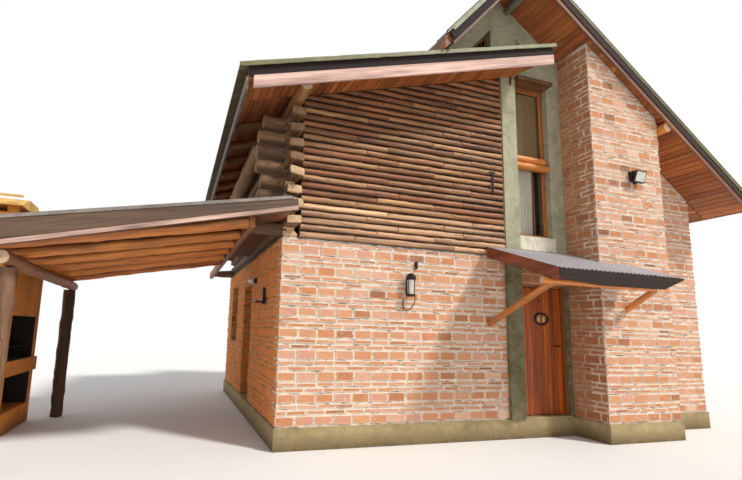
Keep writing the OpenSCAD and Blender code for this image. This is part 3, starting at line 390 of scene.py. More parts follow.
def make_finishes(colours):
    """Makes each finish once, under the short name that the pieces use for it."""
    f = FINISHES
    # Brick of one burn, pinkish, and two tinted copies: orange on the left wall as painted bounce light,
    # brown on the porch as painted shade
    f["brick"] = brick_clay("fired clay brick", colours.brick, colours.mortar)
    f["brick_warm"] = brick_clay("fired clay brick, painted orange bounce light", colours.brick, "#D8984E", "#F08428")
    f["brick_deep"] = brick_clay("fired clay brick, painted shade", colours.brick, "#CFA680", "#A86640")
    f["mortar"] = mortar("lime and cement mortar", colours.mortar)
    # Tinted copies of the mortar: orange as painted bounce light on the left wall, darker as painted shade on
    # the porch
    f["mortar_painted_bounce_light"] = mortar("mortar, painted orange bounce light", "#DA9856")
    f["mortar_painted_shade"] = mortar("lime mortar, painted shade", "#C9A280")
    # Render: sand between 6 and 8 mm wide is drawn coarser than real so that it shows
    f["plinth"] = plaster("khaki painted render", colours.plinth, 8, "#5E4A30")
    f["sage"] = plaster("sage painted render", colours.column)
    f["sage_khaki"] = plaster("sage render over khaki", colours.column, 6, "#645836", (2.5, 3.1))
    f["sill"] = plaster("pale render", "#D8D0BC")
    f["ochre"] = plaster("ochre painted render", colours.ochre, 7, "#6E4420")
    # A paler copy of the ochre is painted sunlight on the chimney cap
    f["ochre_pale"] = plaster("ochre render, painted sunlight", "#E2B464", 7)
    f["soot"] = plaster("sooted firebrick", "#241C17", 8)
    f["screed"] = plaster("red brown cement screed", "#8E6048", 7)
    f["grey_log"] = plaster("grey green painted log", "#7C7E6C")
    # Logs and poles: barked softwood, varnished or left to the weather. Fibres are drawn coarser than real.
    f["pole"] = timber("varnished half round pole", colours.poles, "#A67A50", grain_mm=12, cracks=0.8)
    # A paler copy of the poles is painted sunlight for the lowest rows
    f["pole_pale"] = timber("half round pole, painted sunlight", "#CE9F76", "#BA8C68", grain_mm=12, cracks=0.8)
    f["log_y"] = timber("weathered hewn log", "#6E5034", run="Y", rough=0.8, grain_mm=16, cracks=0.9)
    f["log_x"] = timber("weathered hewn cross log", "#70523A", run="X", rough=0.8, grain_mm=16, cracks=0.9)
    f["log"] = timber("weathered log", "#966A3E", "#845C38", rough=0.75, grain_mm=14, cracks=0.8)
    f["end"] = end_grain("sawn log end", "#CDAE90")
    f["hewn"] = hewn_end("axe hewn log end", "#D2AE88")
    # A darker copy of the hewn ends is painted shade
    f["hewn_painted_shade"] = hewn_end("axe hewn log end, painted shade", "#86664A")
    f["orange"] = timber("varnished pine log", "#D88438", "#C47430", rough=0.5, coat=0.15, grain_mm=14)
    f["brace"] = timber("varnished pine brace", "#BE7636", rough=0.5, coat=0.2, grain_mm=10)
    f["beam"] = timber("varnished brown beam", "#80502C", "#6E4628", rough=0.6, grain_mm=14, cracks=0.8)
    f["post"] = timber("dark treated post", "#46301F", "#5A3C26", rough=0.75, grain_mm=18, cracks=0.9)
    f["post_pale"] = timber("brown treated post", "#6C4E38", rough=0.75, grain_mm=18, cracks=0.9)
    # Roof boards: sawn softwood, varnished below and stained or bleached at the edges
    f["soffit"] = timber("varnished soffit board", "#A2602E", "#94502A", rough=0.5, coat=0.15)
    # A darker copy of the soffit boards is painted shade under the gallery
    f["soffit_dark"] = timber("gallery board, painted shade", "#6E3E1E", "#5E341C", rough=0.6)
    f["deck"] = timber("boarding edge", "#7A4826", run="Y")
    f["pale_board"] = timber("bleached pink verge board", "#CDA79A", run="X", slope=SHED_PITCH, rough=0.7,
                             cracks=0.15, knots=0.25, grain_mm=14)
    f["pale_strip"] = timber("bleached pink strip", "#D2AC9C", rough=0.7, cracks=0.1, knots=0.2)
    # The eave board's side face is a grey copy of the pale board: painted shade
    f["grey_board"] = timber("grey eaves board, painted shade", "#72665C", run="Y", rough=0.75, knots=0.3)
    # The left verge board is a darker copy of the right one: painted shade
    f["rake_left"] = timber("brown stained verge board, left, painted shade", "#6A443A", run="X", slope=LEFT_PITCH,
                            rough=0.6, knots=0.3)
    f["rake_right"] = timber("brown stained verge board, right", "#85573F", run="X", slope=-RIGHT_PITCH,
                             rough=0.6, knots=0.3)
    f["fascia"] = timber("dark stained gallery board", "#604A39", run="X", slope=GALLERY_PITCH, rough=0.65,
                         cracks=0.2, knots=0.2, grain_mm=12)
    # Dark edge boards stand for the shadow under the sheets' edges: painted shadow
    f["band"] = timber("edge board, painted shadow", "#281B16", rough=0.9, cracks=0.2)
    # The board behind the poles is near black: painted shade in the gaps between them
    f["backing"] = timber("backing board, painted shade", "#33231A", run="X", rough=0.7)
    f["canopy_side"] = timber("red brown painted board", "#7E422A", run="Y", cracks=0.2, knots=0.3)
    # The canopy's front board is dark paint, darkened further as painted shade
    f["canopy_front"] = timber("black brown painted board, darkened as painted shade", "#28170F", run="X", rough=0.9, cracks=0.2,
                               knots=0.2)
    # Joinery: planed and varnished, with a soft shine
    f["joinery"] = timber("varnished window timber", "#94582E", run="Z", rough=0.45, coat=0.3, grain_mm=7,
                          cracks=0.1)
    f["bar"] = timber("varnished glazing bar", "#A4642F", rough=0.45, coat=0.3, grain_mm=7, cracks=0.1)
    f["door"] = timber("varnished cedar plank", colours.door, "#B86018", rough=0.45, coat=0.15, grain_mm=10,
                       cracks=0.35, knots=0.6)
    f["door_back"] = timber("varnished cedar leaf", colours.door, run="Z", rough=0.45, coat=0.3)
    f["head"] = timber("brown timber head", "#6C4428", run="X")
    # Steel sheet: painted and chalked, or bare zinc
    f["sheet"] = painted_sheet("olive painted roof sheet", colours.roof)
    f["trim"] = painted_sheet("olive painted edge trim", "#77744C")
    f["gallery_sheet"] = painted_sheet("grey brown roof sheet", "#8A8078")
    f["galvanised"] = galvanised("weathered galvanised steel")
    # Clear float glass: sharp reflections, and nearly nothing of its own colour
    f["glass"] = mottled("clear window glass", 0.03, 333, 2.0, [(0.3, "#3A3E38"), (0.7, "#4A4E46")],
                         IOR=1.5, Alpha=0.14)
    # Forged iron with black paint: hammer marks, dull sheen, brown in the hollows
    f["iron"] = mottled("black painted iron", 0.48, 16.7, 5.0,
                        [(0.35, "#2A1E16"), (0.55, "#1B1A19"), (0.75, "#33302D")], 1.2, Metallic=0.4)
    # Opal glass of a lamp that is off: smooth, milky and slightly coated
    f["opal"] = mottled("opal lamp glass", 0.22, 50, 3.0, [(0.3, "#C9C6B8"), (0.7, "#E4E1D6")],
                        Coat_Weight=0.3)
    # Glazed earthenware: a smooth honey colour with a hard shine
    f["disc"] = mottled("honey glazed earthenware", 0.18, 14.3, 3.0, [(0.3, "#A87A40"), (0.7, "#D8B478")],
                        Coat_Weight=0.5)
    f["blind"] = cloth("tan roller blind", "#A88A5C", "Z")
    f["curtain"] = cloth("cream cotton curtain", "#FFF2DA", "X")


# Modelling helpers


def select_only(*objects):
    """Selects these objects alone in object mode, and makes the first active."""
    if bpy.context.object and bpy.context.object.mode != "OBJECT":
        bpy.ops.object.mode_set(mode="OBJECT")
    bpy.ops.object.select_all(action="DESELECT")
    for ob in objects:
        ob.select_set(True)
    bpy.context.view_layer.objects.active = objects[0] if objects else None


def edit(ob, pick=None):
    """Opens a mesh for editing with the faces that a rule picks selected, or all of them."""
    select_only(ob)
    bpy.ops.object.mode_set(mode="EDIT")
    bpy.ops.mesh.select_mode(type="FACE")
    bpy.ops.mesh.select_all(action="DESELECT" if pick else "SELECT")
    if pick:
        bpy.ops.object.mode_set(mode="OBJECT")
        for face in ob.data.polygons:
            face.select = pick(face)
        bpy.ops.object.mode_set(mode="EDIT")


def shaped(ob, step, pick=None, **settings):
    """Runs one step of editing on the faces that a rule picks, or on all of them."""
    edit(ob, pick)
    step(**settings)
    bpy.ops.object.mode_set(mode="OBJECT")
    return ob


def settle(ob):
    """Puts the object's place into its mesh."""
    select_only(ob)
    bpy.ops.object.transform_apply(location=True, rotation=True, scale=True)
    return ob


def apply_modifiers(ob):
    """Applies each modifier in its order."""
    select_only(ob)
    for modifier in list(ob.modifiers):
        bpy.ops.object.modifier_apply(modifier=modifier.name)
    return ob


def eased(ob, width, segments=1):
    """Rounds the sharp edges of a mesh."""
    modifier = ob.modifiers.new("eased", "BEVEL")
    modifier.width = width
    modifier.segments = segments
    modifier.limit_method = "ANGLE"
    return apply_modifiers(ob)


def joined(objects):
    """Joins objects into the first."""
    select_only(*objects)
    if len(objects) > 1:
        bpy.ops.object.join()
    return bpy.context.view_layer.objects.active


def keep(mesh, name, values, vector=False):
    """Keeps values for the mesh's points under a name that finishes and patterns read."""
    layer = mesh.attributes.new(name, "FLOAT_VECTOR" if vector else "FLOAT", "POINT")
    layer.data.foreach_set("vector" if vector else "value", values)


def keep_grain(ob, order=(0, 1, 2)):
    """Keeps each point's place in the unplaced piece as its grain, the length first."""
    points = [v.co.copy() for v in ob.data.vertices]
    keep(ob.data, "grain", [p[k] for p in points for k in order], vector=True)
    keep(ob.data, "tone", [0.5] * len(points))
    return ob


def keep_painted_shade(ob, rule):
    """Keeps how much painted shade each point gets, from 0 to 1, by its place from the house's corner and its
    normal.
    """
    keep(ob.data, "painted_shade", [min(1.0, max(0.0, rule(v.co - CORNER, v.normal))) for v in ob.data.vertices])


def vary(ob, rng):
    """Gives a copy a stretch of grain and a tone of its own."""
    layer = ob.data.attributes["grain"].data
    values = [0.0] * (3 * len(layer))
    layer.foreach_get("vector", values)
    shift = rng.uniform(-40, 40)
    layer.foreach_set("vector", [v + shift if i % 3 == 0 else v for i, v in enumerate(values)])
    tone = rng.random()
    ob.data.attributes["tone"].data.foreach_set("value", [tone] * (len(values) // 3))
    return ob


def dress(ob, keys):
    """Gives a mesh its finishes by their short names."""
    ob.data.materials.clear()
    for key in [keys] if isinstance(keys, str) else keys:
        ob.data.materials.append(FINISHES[key])


def done(ob, name, finishes, body="house", smooth=None):
    """Names a piece, gives it its finishes and hangs it on its body."""
    settle(ob)
    ob.name = name
    ob.data.name = name
    dress(ob, finishes)
    if smooth:
        select_only(ob)
        bpy.ops.object.shade_smooth_by_angle(angle=math.radians(smooth))
    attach(ob, body)
    return ob


def paint(node, *finishes, pick=None):
    """Gives a CAD node its finish, and a second one to the faces that a rule picks."""
    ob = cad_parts[node]
    dress(ob, finishes)
    for face in ob.data.polygons:
        face.material_index = int(pick(face.center - CORNER, face.normal)) if pick else 0


def cut_away(ob, point, normal):
    """Cuts off what lies on the normal's side of a plane and closes the cut."""
    return shaped(ob, bpy.ops.mesh.bisect, plane_co=point, plane_no=normal, use_fill=True, clear_outer=True)


def push(ob, size, strength, direction="NORMAL"):
    """Moves the surface by a soft noise of a real size."""
    texture = bpy.data.textures.new("noise", "CLOUDS")
    texture.noise_scale = size
    texture.noise_depth = 1
    modifier = ob.modifiers.new("push", "DISPLACE")
    modifier.texture = texture
    modifier.texture_coords = "GLOBAL"
    modifier.direction = direction
    modifier.strength = strength
    modifier.mid_level = 0.5
    return apply_modifiers(ob)


PLANKS = random.Random(5)


def plank(a, b, width, height, ease=0.003, up=(0, 0, 1)):
    """A board with eased edges from a to b: width across, height along up."""
    a, b = Vector(a), Vector(b)
    along = (b - a).normalized()
    side = Vector(up).cross(along).normalized()
    select_only()
    bpy.ops.mesh.primitive_cube_add(size=1, scale=((b - a).length, width, height))
    ob = settle(bpy.context.object)
    if ease:
        eased(ob, ease)
    vary(keep_grain(ob), PLANKS)
    axes = Matrix((along, side, along.cross(side))).transposed().to_4x4()
    ob.matrix_world = Matrix.Translation((a + b) / 2) @ axes
    return settle(ob)


def board(a, b, width, height, ease=0.003, up=(0, 0, 1)):
    """A plank between two points given from the house's corner."""
    return plank(at(*a), at(*b), width, height, ease, up)


def upright(x, y, low, high, width, height, ease=0.003, up=(0, 1, 0)):
    """A plank that stands at a place given from the house's corner."""
    return board((x, y, low), (x, y, high), width, height, ease, up)


def sloped(line, pitch, ends, y, lift, width, height, ease=0.002):
    """A board that follows a roof's slope from one x to the other, lifted off the roof's line."""
    a, b = ((x, y, line(x) + lift) for x in ends)
    return board(a, b, width, height, ease, slope_up(pitch))


def slope_up(pitch):
    """The outward normal of a roof that rises towards +X by a pitch."""
    return (-math.sin(pitch), 0, math.cos(pitch))


def round_bar(spot, radius, depth, turn, sides=20, ease=0.003, segments=1):
    """A short bar with eased rims about a point given from the house's corner."""
    bpy.ops.mesh.primitive_cylinder_add(vertices=sides, radius=radius, depth=depth, location=at(*spot),
                                        rotation=turn)
    ob = settle(bpy.context.object)
    return eased(ob, ease, segments) if ease else ob


def ball(spot, radius, segments, rings, stretch=(1, 1, 1)):
    """A ball about a point in the frame, stretched along its axes."""
    bpy.ops.mesh.primitive_uv_sphere_add(segments=segments, ring_count=rings, radius=radius, location=spot)
    ob = bpy.context.object
    ob.scale = stretch
    return settle(ob)


# Logs


def round_log(radius, length, sides, rings, lump, crook, seed):
    """One round log along Z with a crooked stem, lumps and eased sawn ends."""
    select_only()
    bpy.ops.mesh.primitive_circle_add(vertices=sides, radius=radius, fill_type="NGON")
    ob = bpy.context.object
    edit(ob)
    for _ in range(rings):
        bpy.ops.mesh.extrude_region_move(TRANSFORM_OT_translate={"value": (0, 0, length / rings)})
    shaped(ob, bpy.ops.mesh.normals_make_consistent, inside=False)
    eased(ob, radius * 0.1)
    # Each log reads another stretch of the noise
    ob.location = (seed * 3.7, seed * 1.3, seed * 2.1)
    push(ob, radius * 1.6, lump)
    push(ob, 0.8, crook, "X")
    push(ob, 0.7, crook, "Y")
    ob.location = (0, 0, 0)
    return keep_grain(ob, (2, 0, 1))


class LogPatterns:
    """Round logs of one size, modelled once and copied to where they lie"""

    def __init__(self, radius, length, sides, rings, lump, crook, seeds, rng):
        self.radius, self.length, self.rng = radius, length, rng
        self.logs = [round_log(radius, length, sides, rings, lump, crook, seed) for seed in seeds]

    def lay(self, number, a, b, radius):
        """A copy of one pattern between two points given from the house's corner, turned at random."""
        a, b = at(*a), at(*b)
        pattern = self.logs[number]
        ob = pattern.copy()
        ob.data = pattern.data.copy()
        bpy.context.scene.collection.objects.link(ob)
        vary(ob, self.rng)
        wide, long = radius / self.radius, (b - a).length / self.length
        ob.matrix_world = (Matrix.Translation(a) @ (b - a).to_track_quat("Z", "Y").to_matrix().to_4x4()
                           @ Matrix.Rotation(self.rng.uniform(0, 6.28), 4, "Z")
                           @ Matrix.Diagonal((wide, wide, long, 1)))
        return settle(ob)

    def drop(self):
        """Removes the patterns, which are no pieces."""
        for log in self.logs:
            bpy.data.objects.remove(log)


def log_piece(logs, name, finish, axis, replaced=(), end="end"):
    """Joins logs, with their sawn ends in a second finish."""
    ob = done(joined(logs), name, (finish, end), smooth=35)
    for face in ob.data.polygons:
        face.material_index = int(abs(face.normal.dot(Vector(axis))) > 0.85 and len(face.vertices) > 4)
    if replaced:
        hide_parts(*replaced)
    return ob


# Brickwork

# The way along a wall and the way out of it
FRONT, REAR = ((1, 0, 0), (0, -1, 0)), ((1, 0, 0), (0, 1, 0))
LEFT, RIGHT = ((0, 1, 0), (-1, 0, 0)), ((0, 1, 0), (1, 0, 0))


def brick_pattern(name, length, height):
    """One brick face with worn edges, open at the back, where it sits in the mortar."""
    depth, back, rim = 0.034, 0.008, 0.009
    select_only()
    bpy.ops.mesh.primitive_cube_add(size=1, scale=(length, depth, height), location=(0, back, 0))
    ob = settle(bpy.context.object)
    shaped(ob, bpy.ops.mesh.delete, lambda face: face.normal.y > 0.9, type="FACE")
    shaped(ob, bpy.ops.mesh.inset, lambda face: face.normal.y < -0.9, thickness=0.011)
    shaped(ob, bpy.ops.mesh.subdivide, number_cuts=1)
    eased(ob, 0.005)
    keep(ob.data, "rim", [
        0.0 if abs(v.co.x) < length / 2 - rim and abs(v.co.z) < height / 2 - rim else 1.0
        for v in ob.data.vertices])
    ob.name = name
    return ob


def brick_nodes(brick):
    """Puts a brick on each point, by its turn and size, and makes the instances real."""
    group = bpy.data.node_groups.new("bricks on points", "GeometryNodeTree")
    for way in ("INPUT", "OUTPUT"):
        group.interface.new_socket("Geometry", in_out=way, socket_type="NodeSocketGeometry")
    source = put(group, "NodeGroupInput", out="Geometry")
    target = group.nodes.new("NodeGroupOutput")
    info = put(group, "GeometryNodeObjectInfo", {"Object": brick}, out="Geometry")
    turn = put(group, "GeometryNodeInputNamedAttribute", {"Name": "turn"}, out="Attribute",
               data_type="FLOAT_VECTOR")
    size = put(group, "GeometryNodeInputNamedAttribute", {"Name": "size"}, out="Attribute",
               data_type="FLOAT_VECTOR")
    spin = put(group, "FunctionNodeEulerToRotation", {"Euler": turn})
    placed = put(group, "GeometryNodeInstanceOnPoints", {"Points": source, "Instance": info, "Rotation": spin,
                                                         "Scale": size})
    real = put(group, "GeometryNodeRealizeInstances", {"Geometry": placed})
    group.links.new(real, target.inputs[0])
    return group


def free_runs(low, high, bottom, top, free):
    """Stretches of a course where a brick of that height fits."""
    step = 0.01
    runs, start, u = [], None, low
    while u <= high + 1e-6:
        if free(u, bottom, top):
            start = u if start is None else start
        elif start is not None:
            runs.append((start, u - step))
            start = None
        u += step
    if start is not None:
        runs.append((start, high))
    return runs


def course_bricks(face, sizes, rng):
    """Bricks of one wall face in courses: one on edge, then two laid flat."""
    found = {"edge": [], "flat": []}
    shortest = 0.05
    z, index = face["bottom"] + sizes.joint, 0
    while z < face["top"]:
        kind = ("edge", "flat", "flat")[index % 3]
        height = sizes.edge_course if kind == "edge" else sizes.flat_course
        shift = (0.0, 0.5, 0.15)[index % 3] + 0.5 * face["shift"] + rng.uniform(-0.12, 0.12)
        pitch = sizes.brick_length + sizes.joint
        for low, high in free_runs(face["from"], face["to"], z, z + height, face["free"]):
            u = face["from"] + (shift % 1.0 - 1) * pitch
            while u < high:
                length = sizes.brick_length * rng.uniform(0.92, 1.04)
                a, b = max(u, low), min(u + length, high)
                if b - a > shortest:
                    found[kind].append(((a + b) / 2, z + height / 2, b - a))
                u += length + sizes.joint * rng.uniform(0.7, 1.3)
        z += height + sizes.joint
        index += 1
    return found


def brick_points(faces, sizes, rng):
    """Where the bricks of some wall faces go: place, turn, size and tone of each, by its kind."""
    points = {"edge": [], "flat": []}
    for face in faces:
        across, outward = (Vector(way) for way in face["side"])
        heading = math.atan2(outward.y, outward.x) + math.pi / 2
        for kind, bricks in course_bricks(face, sizes, rng).items():
            for u, z, length in bricks:
                spot = at(*face["corner"]) + across * u + Vector((0, 0, z))
                spot += outward * rng.uniform(-0.005, 0.004)
                spot.z += rng.uniform(-0.003, 0.003)
                turn = (rng.uniform(-0.03, 0.03), rng.uniform(-0.012, 0.012),
                        heading + rng.uniform(-0.02, 0.02))
                tone = min(1.0, max(0.0, rng.gauss(0.56, 0.2)))
                size = (length / sizes.brick_length, 1, rng.uniform(0.88, 1.08))
                points[kind].append((spot, turn, size, tone))
    return points


def lay_bricks(name, faces, seed, finish="brick"):
    """Lays the bricks of some wall faces as one piece."""
    sizes = bpy.context.scene.house_sizes
    points = brick_points(faces, sizes, random.Random(seed))
    made = []
    for kind, height in (("edge", sizes.edge_course), ("flat", sizes.flat_course)):
        if not points[kind]:
            continue
        spots, turns, scales, tones = zip(*points[kind])
        brick = brick_pattern("brick " + kind, sizes.brick_length, height)
        mesh = bpy.data.meshes.new(name + kind)
        mesh.from_pydata(spots, [], [])
        keep(mesh, "turn", [x for turn in turns for x in turn], vector=True)
        keep(mesh, "size", [x for scale in scales for x in scale], vector=True)
        keep(mesh, "tone", tones)
        ob = bpy.data.objects.new(name + kind, mesh)
        bpy.context.scene.collection.objects.link(ob)
        modifier = ob.modifiers.new("bricks", "NODES")
        modifier.node_group = brick_nodes(brick)
        made.append(apply_modifiers(ob))
        bpy.data.objects.remove(brick)
    ob = joined(made)
    push(ob, 0.04, 0.013)
    for attribute in ("turn", "size"):
        if attribute in ob.data.attributes:
            ob.data.attributes.remove(ob.data.attributes[attribute])
    done(ob, name, finish)


def wall_face(corner, side, low, high, top, bottom=PLINTH_H, roof=None, holes=(), shift=0):
    """A wall face that bricks are laid on: its extent, the roof line over it and its openings."""
    def free(u, z0, z1):
        if roof and z1 > roof(u) - 0.012:
            return False
        return not any(a - 0.004 < u < b + 0.004 and z1 > c and z0 < d for a, b, c, d in holes)
    return {"corner": corner, "side": side, "from": low, "to": high, "bottom": bottom, "top": top,
            "free": free, "shift": shift}


# Roofs and cloths


def soffit(name, low_x, high_x, low_y, high_y, line, pitch, cut=None, finish="soffit"):
    """Boards under a sloping roof, parallel to Y, tongued with open joints, no two alike in grain."""
    width = bpy.context.scene.house_sizes.soffit_board
    gap, thick = 0.006, 0.011
    step = (width + gap) * math.cos(pitch)
    boards, x = [], low_x + step / 2
    while x < high_x - step * 0.4:
        z = line(x) - (thick / 2 + 0.0008) / math.cos(pitch)
        boards.append(board((x, low_y, z), (x, high_y, z), width, thick, 0.002, slope_up(pitch)))
        x += step
    ob = joined(boards)
    if cut:
        cut_away(ob, *cut)
    done(ob, name, finish)


def ribs(name, ends, low_y, high_y, line, pitch, finish="sheet"):
    """Pressed ribs of a steel roof sheet, down the slope."""
    sizes = bpy.context.scene.house_sizes
    edge, width = 0.05, 0.042
    lift = sizes.rib_height * 0.45 / math.cos(pitch)
    ob = sloped(line, pitch, ends, low_y + edge, lift, width, sizes.rib_height, 0)
    up = Vector(slope_up(pitch))
    shaped(ob, bpy.ops.transform.resize, lambda face: face.normal.dot(up) > 0.9, value=(1, 0.5, 1))
    row = ob.modifiers.new("row", "ARRAY")
    row.count = int((high_y - low_y - 2 * edge) / sizes.rib_step) + 1
    row.use_relative_offset = False
    row.use_constant_offset = True
    row.constant_offset_displace = (0, sizes.rib_step, 0)
    apply_modifiers(ob)
    done(ob, name, finish)


def hung_cloth(name, low, high, y, folds, depth, finish):
    """A cloth hung in soft folds from the window's head."""
    select_only()
    width, height = high[0] - low[0], high[1] - low[1]
    bpy.ops.mesh.primitive_grid_add(x_subdivisions=10 * folds, y_subdivisions=24, size=1,
                                    location=((low[0] + high[0]) / 2, y, (low[1] + high[1]) / 2))
    ob = bpy.context.object
    ob.rotation_euler = (math.pi / 2, 0, 0)
    ob.scale = (width, height, 1)
    settle(ob)
    for v in ob.data.vertices:
        u, t = (v.co.x - low[0]) / width, (v.co.z - low[1]) / height
        v.co.y += depth * math.sin(u * folds * 6.283 + 0.8 * math.sin(3 * t + 2 * u))
    done(ob, name, finish, smooth=60)


# Sizes and colours that a user may change


def length_property(name, description, default, low, high):
    """A length in metres."""
    return bpy.props.FloatProperty(name=name, description=description, default=default, min=low, max=high,
                                   unit="LENGTH")


def colour_property(name, description, text):
    """A colour, from its sRGB hex value."""
    return bpy.props.FloatVectorProperty(name=name, description=description, subtype="COLOR", size=3, min=0,
                                         max=1, default=linear(text)[:3])


class HouseSizes(bpy.types.PropertyGroup):
    """Sizes of the house's bricks, poles, boards and sheets"""
    brick_length: length_property("Brick length", "Length of a whole brick", 0.25, 0.2, 0.3)
    edge_course: length_property("Edge course", "Height of a course laid on edge", 0.117, 0.09, 0.14)
    flat_course: length_property("Flat course", "Height of a course laid flat", 0.052, 0.04, 0.07)
    joint: length_property("Joint", "Width of the mortar joints", 0.02, 0.01, 0.03)
    pole_crook: length_property("Pole crook", "How far a pole strays from straight", 0.03, 0.0, 0.06)
    soffit_board: length_property("Soffit board", "Width of a board under the roofs", 0.098, 0.06, 0.2)
    rib_step: length_property("Rib step", "Distance between the roof sheet's ribs", 0.25, 0.1, 0.5)
    rib_height: length_property("Rib height", "Height of the roof sheet's ribs", 0.024, 0.01, 0.04)


class HouseColours(bpy.types.PropertyGroup):
    """Colours of the house's main finishes"""
    brick: colour_property("Brick", "Middle tone of the bricks", "#D08C62")
    mortar: colour_property("Mortar", "Colour of the lime mortar", "#EBD9C6")
    plinth: colour_property("Plinth", "Paint of the plinth", "#A6936A")
    column: colour_property("Column", "Paint of the columns and the gable", "#AAA78C")
    poles: colour_property("Poles", "Varnished half round poles", "#925A34")
    roof: colour_property("Roof", "Paint of the roof sheets", "#6C674A")
    ochre: colour_property("Barbecue", "Paint of the barbecue", "#CC8228")
    door: colour_property("Door", "Varnished door planks", "#A44C10")


# The stage and the pieces, one operator each


class HOUSE_OT_stage(bpy.types.Operator):
    """Adds the pale floor, the soft light, the white background and the camera"""
    bl_idname = "house.stage"
    bl_label = "Stage"

    def add_floor(self):
        """A matt floor that turns white to the camera with its distance."""
        select_only()
        bpy.ops.mesh.primitive_plane_add(size=160, location=(0, 0, -0.002))
        floor = settle(bpy.context.object)
        floor.name = "studio_floor"
        material, tree = new_material("pale studio floor", 0.9)
        shader = tree.nodes["Principled BSDF"]
        shader.inputs["Base Color"].default_value = linear("#F0EFEC")
        glow = put(tree, "ShaderNodeEmission", {"Color": (1, 1, 1, 1), "Strength": 1.0})
        seen = put(tree, "ShaderNodeLightPath", out="Is Camera Ray")
        spot = put(tree, "ShaderNodeTexCoord", out="Object")
        far = put(tree, "ShaderNodeVectorMath", [spot], out="Value", operation="LENGTH")
        fade = put(tree, "ShaderNodeMapRange", (far, 9.0, 26.0, 0.0, 1.0))
        share = put(tree, "ShaderNodeMath", (seen, fade), operation="MULTIPLY")
        mixed = put(tree, "ShaderNodeMixShader", (share, shader.outputs["BSDF"], glow))
        tree.links.new(mixed, tree.nodes["Material Output"].inputs["Surface"])
        floor.data.materials.append(material)

    def add_light(self, scene):
        """A soft world that shows white to the camera and in reflections, and one soft lamp."""
        world = bpy.data.worlds.new("studio")
        scene.world = world
        world.use_nodes = True
        tree = world.node_tree
        soft = tree.nodes["Background"]
        soft.inputs["Color"].default_value = (0.96, 0.97, 1.0, 1)
        soft.inputs["Strength"].default_value = 0.56
        white = put(tree, "ShaderNodeBackground", {"Color": (1, 1, 1, 1), "Strength": 1.0})
        ray = put(tree, "ShaderNodeLightPath").node.outputs
        seen = put(tree, "ShaderNodeMath", (ray["Is Camera Ray"], ray["Is Glossy Ray"]), operation="MAXIMUM")
        seen = put(tree, "ShaderNodeMath", (seen, ray["Is Transmission Ray"]), operation="MAXIMUM")
        mixed = put(tree, "ShaderNodeMixShader", (seen, soft.outputs["Background"], white))
        tree.links.new(mixed, tree.nodes["World Output"].inputs["Surface"])
        bpy.ops.object.light_add(type="SUN", rotation=(math.radians(45), 0, math.radians(45)))
        lamp = bpy.context.object
        lamp.name = "key_light"
        lamp.data.energy = 2.75
        lamp.data.angle = math.radians(8)
        lamp.data.color = (1.0, 0.97, 0.92)

    def add_camera(self, scene):
        """A camera whose focal length and middle are given in pixels of the picture."""
        picture_w, picture_h = 742, 480
        focal, middle_x, middle_y = 446.3, 319.0, 265.9
        sensor_mm = 36
        data = bpy.data.cameras.new("camera")
        camera = bpy.data.objects.new("camera", data)
        scene.collection.objects.link(camera)
        data.sensor_width = sensor_mm
        data.lens = focal / picture_w * sensor_mm
        data.shift_x = (picture_w / 2 - middle_x) / picture_w
        data.shift_y = (middle_y - picture_h / 2) / picture_w
        heading, tilt, roll = math.radians(-17.75), math.radians(98.34), math.radians(1.64)
        camera.matrix_world = (Matrix.Translation((-5.27, -8.60, 1.51)) @ Matrix.Rotation(heading, 4, "Z")
                               @ Matrix.Rotation(tilt, 4, "X") @ Matrix.Rotation(roll, 4, "Z"))
        scene.camera = camera

    def execute(self, context):
        context.scene.view_settings.view_transform = "Standard"
        self.add_floor()
        self.add_light(context.scene)
        self.add_camera(context.scene)
        return {"FINISHED"}


class HOUSE_OT_finishes(bpy.types.Operator):
    """Makes the finishes and gives the solid parts theirs"""
    bl_idname = "house.finishes"
    bl_label = "Finishes"

    def execute(self, context):
        make_finishes(context.scene.house_colours)
        plain = {
            "plinth": ("plinth", "door_sill"),
            "screed": ("ground_floor",),
            "deck": ("upper_floor", "shed_deck", "gable_deck_left", "gable_deck_right", "gallery_roof"),
            "mortar": ("front_wall", "rear_wall", "right_wall", "right_front_wall", "wing_front_wall",
                       "wing_right_wall", "rear_upper_wall"),
            "mortar_painted_bounce_light": ("left_wall_near", "left_wall_far", "left_wall_lintel"),
            "mortar_painted_shade": ("wing_left_wall", "door_lintel"),
            "sage_khaki": ("door_pier", "front_column"),
            "sage": ("window_pier", "front_gable"),
            "sill": ("window_sill",),
            "backing": ("wall_backing",),
            "sheet": ("shed_sheet", "gable_sheet_left", "gable_sheet_right"),
            "galvanised": ("canopy_sheet",),
            "gallery_sheet": ("gallery_sheet",),
            "fascia": ("gallery_boards",),
            "joinery": ("tall_window", "side_windows", "door_frame"),
            "head": ("canopy_rafters", "window_head", "gable_lights"),
            "glass": ("window_glass",),
            "iron": ("frame_hinges", "leaf_hinges", "door_handles"),
            "door_back": ("door_leaf",)}
        for key, nodes in plain.items():
            for node in nodes:
                paint(node, key)
        eave_board_x, canopy_front_y, canopy_side_x, cap_z = -0.649, -1.369, 3.26, 3.149
        paint("shed_boards", "pale_board", "grey_board", pick=lambda p, n: p.x < eave_board_x and n.x < 0.5)
        paint("rake_boards", "rake_right", "rake_left", pick=lambda p, n: p.x < RIDGE_X)
        paint("canopy_boards", "canopy_side", "canopy_front",
              pick=lambda p, n: p.y < canopy_front_y and p.x > canopy_side_x)
        # The hearth and the wood store are sooty inside, apart from the store's floor
        paint("barbecue", "ochre", "soot",
              pick=lambda p, n: -4.05 < p.x < -3.405 and 1.32 < p.y < 2.43 and 0.29 < p.z < 2.26
              and not (n.z > 0.9 and p.z < 0.5))
        # The chimney cap's upper faces take the paler ochre: painted sunlight
        paint("barbecue_chimney", "ochre", "ochre_pale", pick=lambda p, n: p.z > cap_z and n.z > -0.5)
        return {"FINISHED"}


